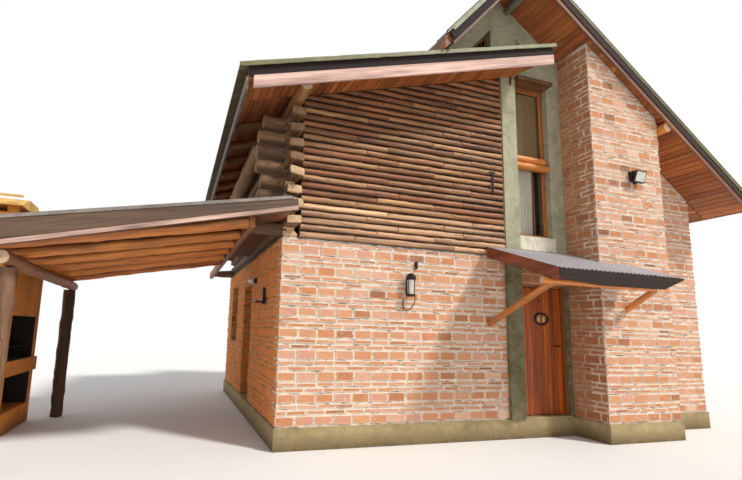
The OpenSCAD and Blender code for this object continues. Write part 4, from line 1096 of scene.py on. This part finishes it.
class HOUSE_OT_brickwork(bpy.types.Operator):
    """Lays the brick faces of the walls"""
    bl_idname = "house.brickwork"
    bl_label = "Brickwork"

    def execute(self, context):
        proud, under_poles = 0.009, STOREY_TOP - 0.03
        near, far, door_top = 2.29, 3.15, 2.32
        lay_bricks("front_bricks", [wall_face((0, 0, 0), FRONT, -proud, BLOCK_W, under_poles)], 11)
        lay_bricks("left_bricks", [
            wall_face((0, 0, 0), LEFT, 0, HOUSE_D + proud, under_poles, shift=1,
                      holes=[(near, far, 0, door_top + 0.01), LEFT_WINDOW]),
            wall_face((0, far, 0), FRONT, 0.0, WALL_T, door_top),
            wall_face((0, near, 0), REAR, 0.0, WALL_T, door_top)], 12, "brick_warm")
        lay_bricks("wing_bricks", [
            wall_face((0, WING_Y, 0), FRONT, WING_X - proud, WING_END + proud, 6.6, roof=right_z),
            wall_face((WING_END, WING_Y, 0), RIGHT, 0, -WING_Y, 6.0, roof=lambda u: right_z(WING_END),
                      shift=1)], 13)
        lay_bricks("porch_bricks", [
            wall_face((WING_X, WING_Y, 0), LEFT, 0, -WING_Y, 6.6, roof=lambda u: right_z(WING_X), shift=1),
            wall_face((0, 0, 0), FRONT, COLUMN_X, WING_X - proud, 2.88, 2.36)], 17, "brick_deep")
        lay_bricks("right_bricks", [
            wall_face((0, 0, 0), FRONT, WING_END, HOUSE_W + proud, 5.4, roof=right_z),
            wall_face((HOUSE_W, 0, 0), RIGHT, 0, HOUSE_D, 4.16, roof=lambda u: right_z(HOUSE_W), shift=1,
                      holes=[RIGHT_WINDOW])], 14)
        # Behind the crossed logs at the left rear corner there are no bricks
        lay_bricks("rear_bricks", [
            wall_face((0, HOUSE_D, 0), REAR, 0, HOUSE_W + proud, 7.2, roof=rear_roof,
                      holes=[*REAR_WINDOWS, (-0.1, 0.23, 2.73, 9)])], 15)
        return {"FINISHED"}


class HOUSE_OT_pole_cladding(bpy.types.Operator):
    """Lays the half round poles in staggered lengths up to the slope of the low roof"""
    bl_idname = "house.pole_cladding"
    bl_label = "Pole cladding"

    def execute(self, context):
        rng = random.Random(21)
        crook = context.scene.house_sizes.pole_crook
        poles = LogPatterns(0.048, 1.2, 12, 12, 0.016, crook * 0.6, range(30, 36), rng)
        logs = []
        for i in range(30):
            z = STOREY_TOP + POLE_PITCH * (i + 0.5)
            low = max(0.228, (z - 0.06 - BLOCK_TOP) / math.tan(SHED_PITCH))
            run = BLOCK_W - low
            if run < 0.1:
                break
            # A long row is cut twice and a shorter one once, at places that change from row to row
            if run > 2.3:
                shares = [0.24 + 0.05 * (i * 7 % 5), 0.62 + 0.05 * ((i * 3 + 2) % 5)]
            elif run > 1.0:
                shares = [0.34 + 0.08 * (i * 7 % 5)]
            else:
                shares = []
            cuts = [low] + [low + run * share for share in shares] + [BLOCK_W + 0.004]
            for a, b in zip(cuts, cuts[1:]):
                tilt = rng.uniform(-0.004, 0.004)
                size = POLE_D / 2 * rng.uniform(0.86, 0.98)
                number = rng.choice(range(len(poles.logs)))
                logs.append(poles.lay(number, (a, -0.004, z + tilt), (b - 0.009, -0.004, z - tilt), size))
        poles.drop()
        ob = cut_away(joined(logs), at(0, 0, BLOCK_TOP - 0.014), slope_up(SHED_PITCH))
        # Painted shade where each pole meets its neighbours, strongest on the undersides
        keep_painted_shade(ob, lambda p, n: max(0.9 * (-n.z - 0.4) / 0.5, 0.6 * (n.z - 0.86) / 0.14))
        ob = log_piece([ob], "pole_cladding", "pole", (1, 0, 0), ("wall_poles",))
        # The lowest rows, out of the roof's shade, get a paler copy of the pole finish as painted sunlight
        ob.data.materials.append(FINISHES["pole_pale"])
        for face in ob.data.polygons:
            if face.material_index == 0 and face.center.z < STOREY_TOP + 0.5:
                face.material_index = 2
        return {"FINISHED"}


class HOUSE_OT_left_log_wall(bpy.types.Operator):
    """Weathers a copy of the crossed log wall: soft lumps, worn edges and axe hewn ends"""
    bl_idname = "house.left_log_wall"
    bl_label = "Left log wall"

    def execute(self, context):
        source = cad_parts["left_log_wall"]
        ob = source.copy()
        ob.data = source.data.copy()
        context.scene.collection.objects.link(ob)
        shaped(ob, bpy.ops.mesh.remove_doubles, threshold=0.0005)
        remesh = ob.modifiers.new("remesh", "REMESH")
        remesh.mode = "VOXEL"
        remesh.voxel_size = 0.024
        apply_modifiers(ob)
        rng = random.Random(31)
        stub_ends = [rng.uniform(-0.012, 0.1) for _ in range(12)]
        tongue_ends = [rng.uniform(-0.01, 0.09) for _ in range(12)]
        tilts = [rng.uniform(-0.16, 0.16) for _ in range(12)]

        def groove(p):
            """How close a point is to the joint of two logs, from 0 to 1, and the number of its log."""
            row = (p.z - STOREY_TOP) / LOG_PITCH - (0.5 if p.x < -0.01 else 0.0)
            return max(0.0, (abs(row - round(row)) - 0.3) / 0.2), round(row)

        moved = []
        for v in ob.data.vertices:
            p = v.co - CORNER
            deep, row = groove(p)
            away = v.normal * (0.022 * deep)
            if p.x < -0.1:
                away.x -= stub_ends[row] * min(1.0, (-p.x - 0.1) / 0.25)
            # How far the point lies out of the front or rear wall, on the logs' tongues
            out = max(-p.y, p.y - HOUSE_D)
            if p.x > -0.02 and out > 0.01:
                share = min(1.0, out / 0.2)
                away.y += (1 if p.y > 0 else -1) * tongue_ends[row] * share
                away.z += (p.x - 0.11) * tilts[row] * share
            moved.extend(v.co - away)
        ob.data.vertices.foreach_set("co", moved)
        ob.data.update()
        push(ob, 0.5, 0.02)
        push(ob, 0.11, 0.014)
        soft = ob.modifiers.new("soft", "SMOOTH")
        soft.factor = 0.5
        soft.iterations = 1
        apply_modifiers(ob)
        # Painted shade in the grooves between the logs
        keep_painted_shade(ob, lambda p, n: 0.9 * groove(p)[0] if -0.03 < p.y < HOUSE_D + 0.03 else 0.0)
        done(ob, "weathered_log_wall", ("log_y", "log_x", "hewn", "hewn_painted_shade"),
             smooth=50)
        for face in ob.data.polygons:
            p, n = face.center - CORNER, face.normal
            end = abs(n.y) > 0.7 and p.x > 0 and not 0.02 < p.y < HOUSE_D - 0.02
            end = end or (n.x < -0.75 and p.x < -0.25)
            # Log ends above the lowest courses take the darker copy of the hewn finish, which is painted
            # shade
            pale = p.z < STOREY_TOP + 4.5 * LOG_PITCH and p.x > 0
            face.material_index = (2 if pale else 3) if end else int(p.x < -0.012)
        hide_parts("left_log_wall")
        return {"FINISHED"}


class HOUSE_OT_gallery_logs(bpy.types.Operator):
    """Adds the gallery's log rafters, its log beam, posts and wall beam"""
    bl_idname = "house.gallery_logs"
    bl_label = "Gallery logs"

    def execute(self, context):
        logs = LogPatterns(0.08, 2.8, 16, 26, 0.022, 0.03, range(50, 53), random.Random(22))
        inner, outer, drop = -0.53, -3.24, 0.0775 / math.cos(GALLERY_PITCH) + 0.0003
        rafters = []
        for i in range(6):
            y = -0.4 + i * 0.68
            rafters.append(logs.lay(i % 3, (inner - 0.004, y, gallery_z(inner) - drop),
                                    (outer, y, gallery_z(outer) - drop), 0.075))
        rafters = log_piece(rafters, "gallery_log_rafters", "orange", (1, 0, 0),
                            ("gallery_rafters",))
        # Painted shade on the rafters' upper sides, under the gallery's boards
        keep_painted_shade(rafters, lambda p, n: 0.85 * (n.z + 0.15) / 0.7)
        post_x, post_r = -3.05, 0.092
        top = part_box("gallery_posts")[1].z
        beam = logs.lay(0, (post_x, -0.44, top + 0.081), (post_x, 3.14, top + 0.081), 0.078)
        log_piece([beam], "gallery_beam_log", "beam", (0, 1, 0))
        near = logs.lay(1, (post_x, -0.2, 0), (post_x, -0.2, top), post_r)
        log_piece([near], "gallery_front_post", "post_pale", (0, 0, 1), ("gallery_posts",))
        far = logs.lay(2, (post_x, 2.85, 0), (post_x, 2.85, top), post_r)
        log_piece([far], "gallery_rear_post", "post", (0, 0, 1))
        wall_x, wall_z = -0.49, 2.808
        ledger = board((wall_x, -0.44, wall_z), (wall_x, HOUSE_D, wall_z), 0.078, 0.146, 0.01)
        push(shaped(ledger, bpy.ops.mesh.subdivide, number_cuts=3), 0.4, 0.006)
        done(ledger, "gallery_wall_beam", "beam")
        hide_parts("gallery_beams")
        logs.drop()
        return {"FINISHED"}


class HOUSE_OT_roof_logs(bpy.types.Operator):
    """Adds the logs under the low roof and the gable, and the pair across the tall window"""
    bl_idname = "house.roof_logs"
    bl_label = "Roof logs"

    def execute(self, context):
        rng = random.Random(23)
        long_logs = LogPatterns(0.1, 5.0, 16, 40, 0.026, 0.04, range(60, 62), rng)
        short_logs = LogPatterns(0.065, 0.8, 14, 10, 0.02, 0.012, range(70, 73), rng)
        rear, slope = 5.99, math.cos(SHED_PITCH)
        # The eave log fills the space from the seventh wall log up to the rafters
        eave_x, plate_x = -0.165, 0.11
        low = STOREY_TOP + 7 * LOG_PITCH
        high = BLOCK_TOP + math.tan(SHED_PITCH) * eave_x - 0.1303 / slope
        radius = (high - low - 0.0006) / (1 + 1 / slope)
        plate_z = BLOCK_TOP + math.tan(SHED_PITCH) * plate_x - 0.09 / slope - 0.0003
        logs = [long_logs.lay(0, (eave_x, 1.25, low + radius), (eave_x, rear, low + radius), radius * 0.97),
                long_logs.lay(1, (plate_x, -0.54, plate_z), (plate_x, rear, plate_z), 0.087)]
        log_piece(logs, "low_roof_logs", "log", (0, 1, 0), ("shed_plate_logs",))
        foot, head, drop = -0.62, -0.045, 0.0653 / slope
        rafters = []
        for i in range(8):
            y = 0.7 + 0.73 * i
            if y < rear:
                a, b = ((x, y, shed_z(x) - drop) for x in (foot, head))
                rafters.append(short_logs.lay(i % 3, a, b, 0.063))
        log_piece(rafters, "eave_log_rafters", "log", (1, 0, 0), ("eave_rafters",))
        # Two log ends look out under the gable's right slope
        slope, front = math.cos(RIGHT_PITCH), -0.72
        x = 3.8
        z = right_z(x) - 0.0653 / slope
        ridge = short_logs.lay(0, (x, front, z), (x, 0, z), 0.063)
        log_piece([ridge], "ridge_log_end", "grey_log", (0, 1, 0), (), "grey_log")
        x = WING_END + 0.11
        z = right_z(x) - 0.0903 / slope
        purlin = short_logs.lay(1, (x, front, z), (x, 0, z), 0.088)
        log_piece([purlin], "purlin_log_end", "orange", (0, 1, 0), ("ridge_log",))
        pair = []
        for k in (0, 1):
            z = 4.41 + 0.1183 * (k - 0.5)
            pair.append(short_logs.lay(k, (COLUMN_X, 0.035, z), (PIER_X - 0.09 * k, 0.035, z), 0.057))
        log_piece(pair, "transom_log_pair", "orange", (1, 0, 0), ("transom_logs",))
        long_logs.drop()
        short_logs.drop()
        return {"FINISHED"}


class HOUSE_OT_soffits(bpy.types.Operator):
    """Boards the undersides of the roofs"""
    bl_idname = "house.soffits"
    bl_label = "Soffit boards"

    def execute(self, context):
        # The low roof's front eave is cut off at a slant beside the gable
        slant = (at(3.96, -0.3, 5), Vector((0.8512, 0.5249, 0)))
        end = WING_END + 0.03
        low, front, rear = SHED_EAVE_X, GABLE_FRONT_Y, REAR_EDGE_Y
        soffit("low_roof_soffit", low, 4.13, -0.595, -0.06, shed_z, SHED_PITCH, slant)
        soffit("low_roof_side_soffit", low, -0.01, -0.05, rear, shed_z, SHED_PITCH)
        soffit("gable_soffit_right", RIDGE_X + 0.01, WING_X - 0.02, front, -0.01, right_z, -RIGHT_PITCH)
        soffit("gable_soffit_wing", WING_X - 0.02, end, front, WING_Y - 0.02, right_z, -RIGHT_PITCH)
        soffit("gable_soffit_end", end, RIGHT_EAVE_X, front, -0.02, right_z, -RIGHT_PITCH)
        soffit("gable_soffit_left", MEET_X + 0.25, RIDGE_X - 0.01, front, -0.005, left_z, LEFT_PITCH)
        soffit("right_eave_soffit", HOUSE_W + 0.02, RIGHT_EAVE_X, 0.0, rear, right_z, -RIGHT_PITCH)
        soffit("gallery_soffit", -3.28, -0.02, -0.48, 3.18, gallery_z, GALLERY_PITCH, finish="soffit_dark")
        return {"FINISHED"}


# The gable's two slopes at its front edge: underside, pitch, and from where to where
GABLE_EDGES = ((right_z, -RIGHT_PITCH, (RIDGE_X, RIGHT_EAVE_X + 0.05)),
               (left_z, LEFT_PITCH, (MEET_X + 0.1, RIDGE_X)))


class HOUSE_OT_roof_sheets(bpy.types.Operator):
    """Adds the ribs, the ridge cap and the folded trims of the steel roof sheets"""
    bl_idname = "house.roof_sheets"
    bl_label = "Roof sheets"

    def execute(self, context):
        def raised(line, thickness):
            """The top of a roof whose underside is given."""
            return lambda x: line(x) + thickness

        shed_top = raised(shed_z, SHED_DECK_T + SHEET_T)
        right_top, left_top = raised(right_z, DECK_T + SHEET_T), raised(left_z, DECK_T + SHEET_T)
        gallery_top = raised(gallery_z, GALLERY_ROOF_T)
        eave, front, rear = -0.755, -0.77, 6.1
        ribs("low_roof_ribs", (eave, MEET_X - 0.03), 0.01, rear, shed_top, SHED_PITCH)
        ribs("low_roof_front_ribs", (eave, 3.78), -0.65, 0.0, shed_top, SHED_PITCH)
        ribs("gable_ribs_right", (RIDGE_X + 0.05, RIGHT_EAVE_X + 0.06), front, rear, right_top, -RIGHT_PITCH)
        ribs("gable_ribs_left", (MEET_X + 0.03, RIDGE_X - 0.05), front, rear, left_top, LEFT_PITCH)
        ribs("gallery_ribs", (-3.32, -0.02), -0.53, 3.23, gallery_top, GALLERY_PITCH, "gallery_sheet")
        cap = []
        for line, pitch, far in ((right_top, -RIGHT_PITCH, 0.17), (left_top, LEFT_PITCH, -0.13)):
            a, b = RIDGE_X - 0.004, RIDGE_X + far
            x = (a + b) / 2
            z = line(x) + 0.026 / math.cos(pitch)
            cap.append(board((x, front - 0.005, z), (x, rear + 0.005, z), abs(b - a) / math.cos(pitch), 0.004,
                             0.001, slope_up(pitch)))
        done(joined(cap), "ridge_cap", "trim")
        trims = []
        for line, pitch, ends in GABLE_EDGES:
            lift = DECK_T + SHEET_T - 0.026 / math.cos(pitch)
            trims.append(sloped(line, pitch, ends, -0.769, lift, 0.012, 0.062))
        lift = SHED_DECK_T + SHEET_T - 0.026
        low_trim = sloped(shed_z, SHED_PITCH, (-0.77, 4.18), -0.664, lift, 0.012, 0.06, 0.004)
        shaped(low_trim, bpy.ops.mesh.subdivide, number_cuts=40)
        trims.append(push(low_trim, 0.12, 0.016, "Z"))
        done(joined(trims), "verge_trims", "trim")
        return {"FINISHED"}


class HOUSE_OT_edge_boards(bpy.types.Operator):
    """Adds dark boards along the roofs' edges, whose black brown is painted shadow under the sheets' edges,
    and the pale strip under the gallery's board
    """
    bl_idname = "house.edge_boards"
    bl_label = "Edge boards"

    def execute(self, context):
        bands = []
        for line, pitch, ends in GABLE_EDGES:
            bands.append(sloped(line, pitch, ends, -0.757, DECK_T - 0.08 / math.cos(pitch), 0.016, 0.12))
        # The low roof's band turns the slanted corner beside the gable
        corner, back, lift = 4.15, 3.80, 0.085
        bands.append(sloped(shed_z, SHED_PITCH, (-0.645, corner), -0.614, 0.1, 0.026, 0.125))
        bands.append(board((corner, -0.59, shed_z(corner) + lift), (back, -0.035, shed_z(back) + lift), 0.02,
                           0.168, 0.002))
        done(joined(bands), "edge_bands", "band")
        outer, inner, y = -3.3, 0.06, -0.535
        strip = board((outer, y, gallery_z(outer) - 0.112), (inner, y, gallery_z(inner) + 0.03), 0.016, 0.05)
        done(strip, "gallery_edge_strip", "pale_strip")
        return {"FINISHED"}


class HOUSE_OT_canopy(bpy.types.Operator):
    """Adds the canopy's round log, its two split log braces and the bolts"""
    bl_idname = "house.canopy"
    bl_label = "Canopy timbers"

    def execute(self, context):
        logs = LogPatterns(0.045, 1.4, 14, 18, 0.012, 0.014, range(80, 82), random.Random(24))
        low, high = (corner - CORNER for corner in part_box("canopy_log"))
        y, z = (low.y + high.y) / 2, (low.z + high.z) / 2
        log = logs.lay(0, (low.x, y, z), (high.x, y, z), 0.0425)
        log_piece([log], "canopy_round_log", "orange", (1, 0, 0), ("canopy_log",))
        braces = [logs.lay(1, (3.28, -0.002, 1.69), (3.30, -1.2, z - 0.028), 0.046),
                  logs.lay(1, (5.40, -0.602, 1.99), (5.14, -1.2, z - 0.028), 0.046)]
        log_piece(braces, "canopy_split_braces", "brace", (0, 0.8, -0.6), ("canopy_braces",))
        turn = (math.radians(50), 0, 0)
        bolts = [round_bar(spot, 0.014, 0.03, turn, 6)
                 for spot in ((3.26, -0.03, 1.73), (5.40, -0.635, 2.03), (3.29, -1.14, z - 0.02))]
        done(joined(bolts), "brace_bolts", "iron")
        logs.drop()
        return {"FINISHED"}


class HOUSE_OT_door(bpy.types.Operator):
    """Adds the front door's planks, battens, peephole and round ornament"""
    bl_idname = "house.door"
    bl_label = "Front door"

    def execute(self, context):
        low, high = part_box("door_leaf")
        count = 7
        pitch = (high.x - low.x) / count
        y = low.y - 0.004
        planks = []
        for k in range(count):
            x = low.x + pitch * (k + 0.5)
            planks.append(plank((x, y, low.z + 0.002), (x, y, high.z - 0.002), pitch - 0.003, 0.012, 0.004,
                                (0, -1, 0)))
        done(joined(planks), "door_planks", "door", "door")
        y = high.y + 0.006
        battens = [plank((low.x + 0.06, y, low.z + h), (high.x - 0.06, y, low.z + h), 0.02, 0.11, 0.004)
                   for h in (0.3, 1.0, 1.72)]
        done(joined(battens), "door_battens", "door", "door")
        # The ornament: an oval ring with beads, a bar and two discs, and a peephole above it
        front = low.y - CORNER.y
        middle = at(4.36, front - 0.014, 1.81)
        facing = (math.pi / 2, 0, 0)
        select_only()
        bpy.ops.mesh.primitive_torus_add(location=middle, rotation=facing, major_radius=0.1,
                                         minor_radius=0.017, major_segments=36, minor_segments=10)
        ring = context.object
        ring.scale = (1.3, 0.92, 0.6)
        parts = [settle(ring)]
        for k in range(8):
            angle = k * math.pi / 4 + 0.3
            rim = middle + Vector((0.128 * math.cos(angle), 0, 0.09 * math.sin(angle)))
            parts.append(ball(rim, 0.017, 12, 8, (1.2, 0.6, 0.9)))
        reach = Vector((0.12, 0, 0))
        parts.append(plank(middle - reach, middle + reach, 0.008, 0.02))
        parts.append(round_bar((4.335, front - 0.012, 2.106), 0.014, 0.014, facing))
        done(joined(parts), "door_ornament", "iron", "door", 40)
        discs = [ball(middle + Vector((x, -0.002, 0)), 0.042, 24, 12, (0.9, 0.25, 1.25))
                 for x in (-0.05, 0.05)]
        done(joined(discs), "door_ornament_discs", "disc", "door", 60)
        return {"FINISHED"}


class HOUSE_OT_window_parts(bpy.types.Operator):
    """Hangs the tall window's blind and curtain, and adds glazing beads and bars"""
    bl_idname = "house.window_parts"
    bl_label = "Window parts"

    def glazing(self, window, spot):
        """Two standing bars and a level one across a window, whose places the rule gives as points."""
        low, high, bottom, top = window
        frame_w, size, facing = 0.05, 0.022, (0, -1, 0)
        bars = []
        for k in (1, 2):
            u = low + (high - low) * k / 3
            bars.append(board(spot(u, bottom + frame_w), spot(u, top - frame_w), size, size, up=facing))
        z = (bottom + top) / 2
        bars.append(board(spot(low + frame_w, z), spot(high - frame_w, z), size, size))
        return bars

    def execute(self, context):
        x0, x1 = at(COLUMN_X + 0.055, 0, 0).x, at(PIER_X - 0.055, 0, 0).x
        y = at(0, 0.178, 0).y
        hung_cloth("upper_blind", (x0, 4.49), (x1, 5.74), y, 1, 0.002, "blind")
        hung_cloth("lower_curtain", (x0, 3.18), (x1 - 0.18, 4.36), y, 7, 0.012, "curtain")
        # Beads round the tall window's two panes, and a bar down its lower one
        bead_y, bottom, top, facing = 0.128, 3.18, 5.75, (0, -1, 0)
        bars = [board((COLUMN_X + 0.05, bead_y, z), (PIER_X - 0.05, bead_y, z), 0.05, 0.022, 0.004)
                for z in (3.192, 4.334, 4.486, 5.738)]
        bars += [upright(x, bead_y, bottom, top, 0.022, 0.05, 0.004, facing)
                 for x in (COLUMN_X + 0.061, PIER_X - 0.061)]
        bars.append(upright(PIER_X - 0.22, 0.16, bottom, 4.34, 0.03, 0.03, 0.004, facing))
        depth = 0.12
        for window in REAR_WINDOWS:
            bars += self.glazing(window, lambda u, z: (u, HOUSE_D - depth, z))
        bars += self.glazing(LEFT_WINDOW, lambda u, z: (depth, u, z))
        bars += self.glazing(RIGHT_WINDOW, lambda u, z: (HOUSE_W - depth, u, z))
        done(joined(bars), "window_bars", "bar")
        return {"FINISHED"}


class HOUSE_OT_lamps(bpy.types.Operator):
    """Adds the wall lantern, the floodlight on the wing and the round lamp"""
    bl_idname = "house.lamps"
    bl_label = "Lamps"

    def lantern(self, x, y, z):
        """A round lantern on a scrolled bracket: its ironwork and its glass."""
        def turned(bottom, top, radius, upper):
            bpy.ops.mesh.primitive_cone_add(vertices=24, radius1=radius, radius2=upper, depth=top - bottom,
                                            location=at(x, y, z + (bottom + top) / 2))
            return eased(settle(bpy.context.object), 0.003)

        # The dish, then the hat in three steps: bottom, top and the radius at each
        parts = [turned(*step) for step in ((0, 0.03, 0.066, 0.062), (0.235, 0.285, 0.068, 0.07),
                                            (0.285, 0.315, 0.07, 0.05), (0.315, 0.333, 0.05, 0.02))]
        for k in range(4):
            angle = k * math.pi / 2 + 0.4
            c, s = 0.061 * math.cos(angle), 0.061 * math.sin(angle)
            parts.append(upright(x + c, y + s, z + 0.02, z + 0.24, 0.008, 0.008, 0.001))
        parts.append(upright(x, -0.012, z + 0.02, z + 0.26, 0.07, 0.016, 0.004))
        parts.append(board((x, -0.01, z + 0.2), (x, -0.05, z + 0.2), 0.03, 0.02, 0.004))
        # The scroll under the dish, from the lantern's middle
        scroll = [(0.064, 0.0, 0.0), (0.066, 0.004, -0.05), (0.055, 0.02, -0.105), (0.025, 0.04, -0.16),
                  (-0.02, 0.06, -0.2), (-0.05, 0.075, -0.205), (-0.07, 0.085, -0.185), (-0.08, 0.09, -0.12),
                  (-0.075, 0.09, -0.04)]
        scroll = [(x + dx, y + dy, z + dz) for dx, dy, dz in scroll]
        parts += [board(a, b, 0.012, 0.012, up=(0, 1, 0)) for a, b in zip(scroll, scroll[1:])]
        parts.append(upright(x + 0.13, -0.025, z + 0.41, z + 0.52, 0.04, 0.04, 0.008))
        return parts, [turned(0.03, 0.235, 0.05, 0.056)]

    def floodlight(self, x, y, z):
        """A flat floodlight with cooling fins in a bracket: its ironwork and its glass."""
        parts = [board((x, y + 0.03, z + 0.02), (x, y - 0.055, z - 0.01), 0.2, 0.17, 0.012),
                 board((x, y - 0.05, z - 0.008), (x, y - 0.072, z - 0.016), 0.235, 0.2, 0.006)]
        parts += [upright(x - 0.09 + k * 0.04, y + 0.05, z + 0.1, z - 0.06, 0.006, 0.05, 0.001)
                  for k in range(5)]
        foot, arm = z - 0.09, 0.115
        parts.append(board((x, WING_Y, z - 0.08), (x, y, z - 0.08), 0.04, 0.05, 0.004))
        parts += [upright(x + side, y, foot, z + 0.03, 0.008, 0.03, 0.001) for side in (-arm, arm)]
        parts.append(board((x - arm, y, foot), (x + arm, y, foot), 0.03, 0.008, 0.001))
        return parts, [board((x, y - 0.071, z - 0.0157), (x, y - 0.077, z - 0.0179), 0.19, 0.155, 0.002)]

    def round_lamp(self, y, z):
        """A ball lamp on the left wall: its plate and neck, and its glass."""
        sideways = (0, math.pi / 2, 0)
        parts = [round_bar((-0.018, y, z), 0.055, 0.036, sideways, 24, 0.006, 2),
                 round_bar((-0.048, y, z), 0.032, 0.03, sideways, ease=0)]
        return parts, [ball(at(-0.1, y, z), 0.056, 28, 18)]

    def execute(self, context):
        lamps = [self.lantern(1.88, -0.1, 2.04), self.floodlight(WING_X + 0.83, WING_Y - 0.06, 4.15),
                 self.round_lamp(1.86, 2.34)]
        parts = [part for iron, glass in lamps for part in iron]
        panes = [part for iron, glass in lamps for part in glass]
        iron = done(joined(parts), "iron_lamps", "iron", smooth=30)
        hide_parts("lanterns")
        done(joined(panes), "lamp_glasses", "opal", smooth=40)
        return {"FINISHED"}


class HOUSE_OT_ironwork(bpy.types.Operator):
    """Adds the small iron brackets on the poles, the column and the left wall"""
    bl_idname = "house.ironwork"
    bl_label = "Ironwork"

    def execute(self, context):
        parts = [upright(3.38, -0.06, 3.76, 4.12, 0.03, 0.01),
                 board((3.3, -0.064, 4.1), (3.42, -0.064, 4.1), 0.01, 0.03),
                 board((3.3, -0.064, 3.86), (3.4, -0.064, 3.86), 0.01, 0.03),
                 board((3.78, -0.068, 5.7), (3.8, -0.068, 5.93), 0.03, 0.012, up=(0, 1, 0)),
                 board((3.79, -0.06, 5.93), (3.84, -0.2, 5.86), 0.02, 0.02),
                 upright(-0.03, 1.0, 1.9, 2.15, 0.04, 0.04, 0.004),
                 board((-0.1, 0.82, 1.93), (-0.1, 1.18, 1.93), 0.16, 0.014),
                 board((-0.17, 0.82, 1.95), (-0.17, 1.18, 1.95), 0.008, 0.04, 0.002)]
        done(joined(parts), "wall_brackets", "iron")
        return {"FINISHED"}


class HOUSE_OT_barbecue(bpy.types.Operator):
    """Adds the barbecue's chimney edges, pale as painted sunlight, and its iron grill"""
    bl_idname = "house.barbecue"
    bl_label = "Barbecue details"

    def execute(self, context):
        low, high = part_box("barbecue_chimney")
        z = high.z - 0.02
        edges = [plank((low.x - 0.004, y, z), (high.x + 0.004, y, z), 0.016, 0.036, 0.004)
                 for y in (low.y - 0.006, high.y + 0.006)]
        done(joined(edges), "chimney_edges", "ochre_pale")
        step, size = 0.05, 0.01
        bars = [board((-3.98, 1.37 + step * k, 1.18), (-3.44, 1.37 + step * k, 1.18), size, size, 0.002)
                for k in range(21)]
        bars += [board((x, 1.33, 1.168), (x, 2.42, 1.168), 0.014, 0.014, 0.002) for x in (-3.9, -3.52)]
        done(joined(bars), "grill_bars", "iron")
        return {"FINISHED"}


class HOUSE_PT_panel(bpy.types.Panel):
    """Lists the house's sizes, colours and pieces"""
    bl_idname = "HOUSE_PT_panel"
    bl_label = "Brick and log house"
    bl_space_type = "VIEW_3D"
    bl_region_type = "UI"
    bl_category = "House"

    def draw(self, context):
        for group in (context.scene.house_sizes, context.scene.house_colours):
            box = self.layout.box()
            for name in group.__annotations__:
                box.prop(group, name)
        for step in STEPS:
            self.layout.operator(step.bl_idname)


STEPS = (HOUSE_OT_stage, HOUSE_OT_finishes, HOUSE_OT_brickwork, HOUSE_OT_pole_cladding,
         HOUSE_OT_left_log_wall, HOUSE_OT_gallery_logs, HOUSE_OT_roof_logs, HOUSE_OT_soffits,
         HOUSE_OT_roof_sheets, HOUSE_OT_edge_boards, HOUSE_OT_canopy, HOUSE_OT_door,
         HOUSE_OT_window_parts, HOUSE_OT_lamps, HOUSE_OT_ironwork, HOUSE_OT_barbecue)
CLASSES = (HouseSizes, HouseColours) + STEPS + (HOUSE_PT_panel,)


def register():
    for item in CLASSES:
        bpy.utils.register_class(item)
    bpy.types.Scene.house_sizes = bpy.props.PointerProperty(type=HouseSizes)
    bpy.types.Scene.house_colours = bpy.props.PointerProperty(type=HouseColours)


def unregister():
    del bpy.types.Scene.house_sizes
    del bpy.types.Scene.house_colours
    for item in reversed(CLASSES):
        bpy.utils.unregister_class(item)


def main():
    """Makes the whole scene."""
    register()
    for step in STEPS:
        group, name = step.bl_idname.split(".")
        getattr(getattr(bpy.ops, group), name)()


if __name__ == "__main__":
    main()
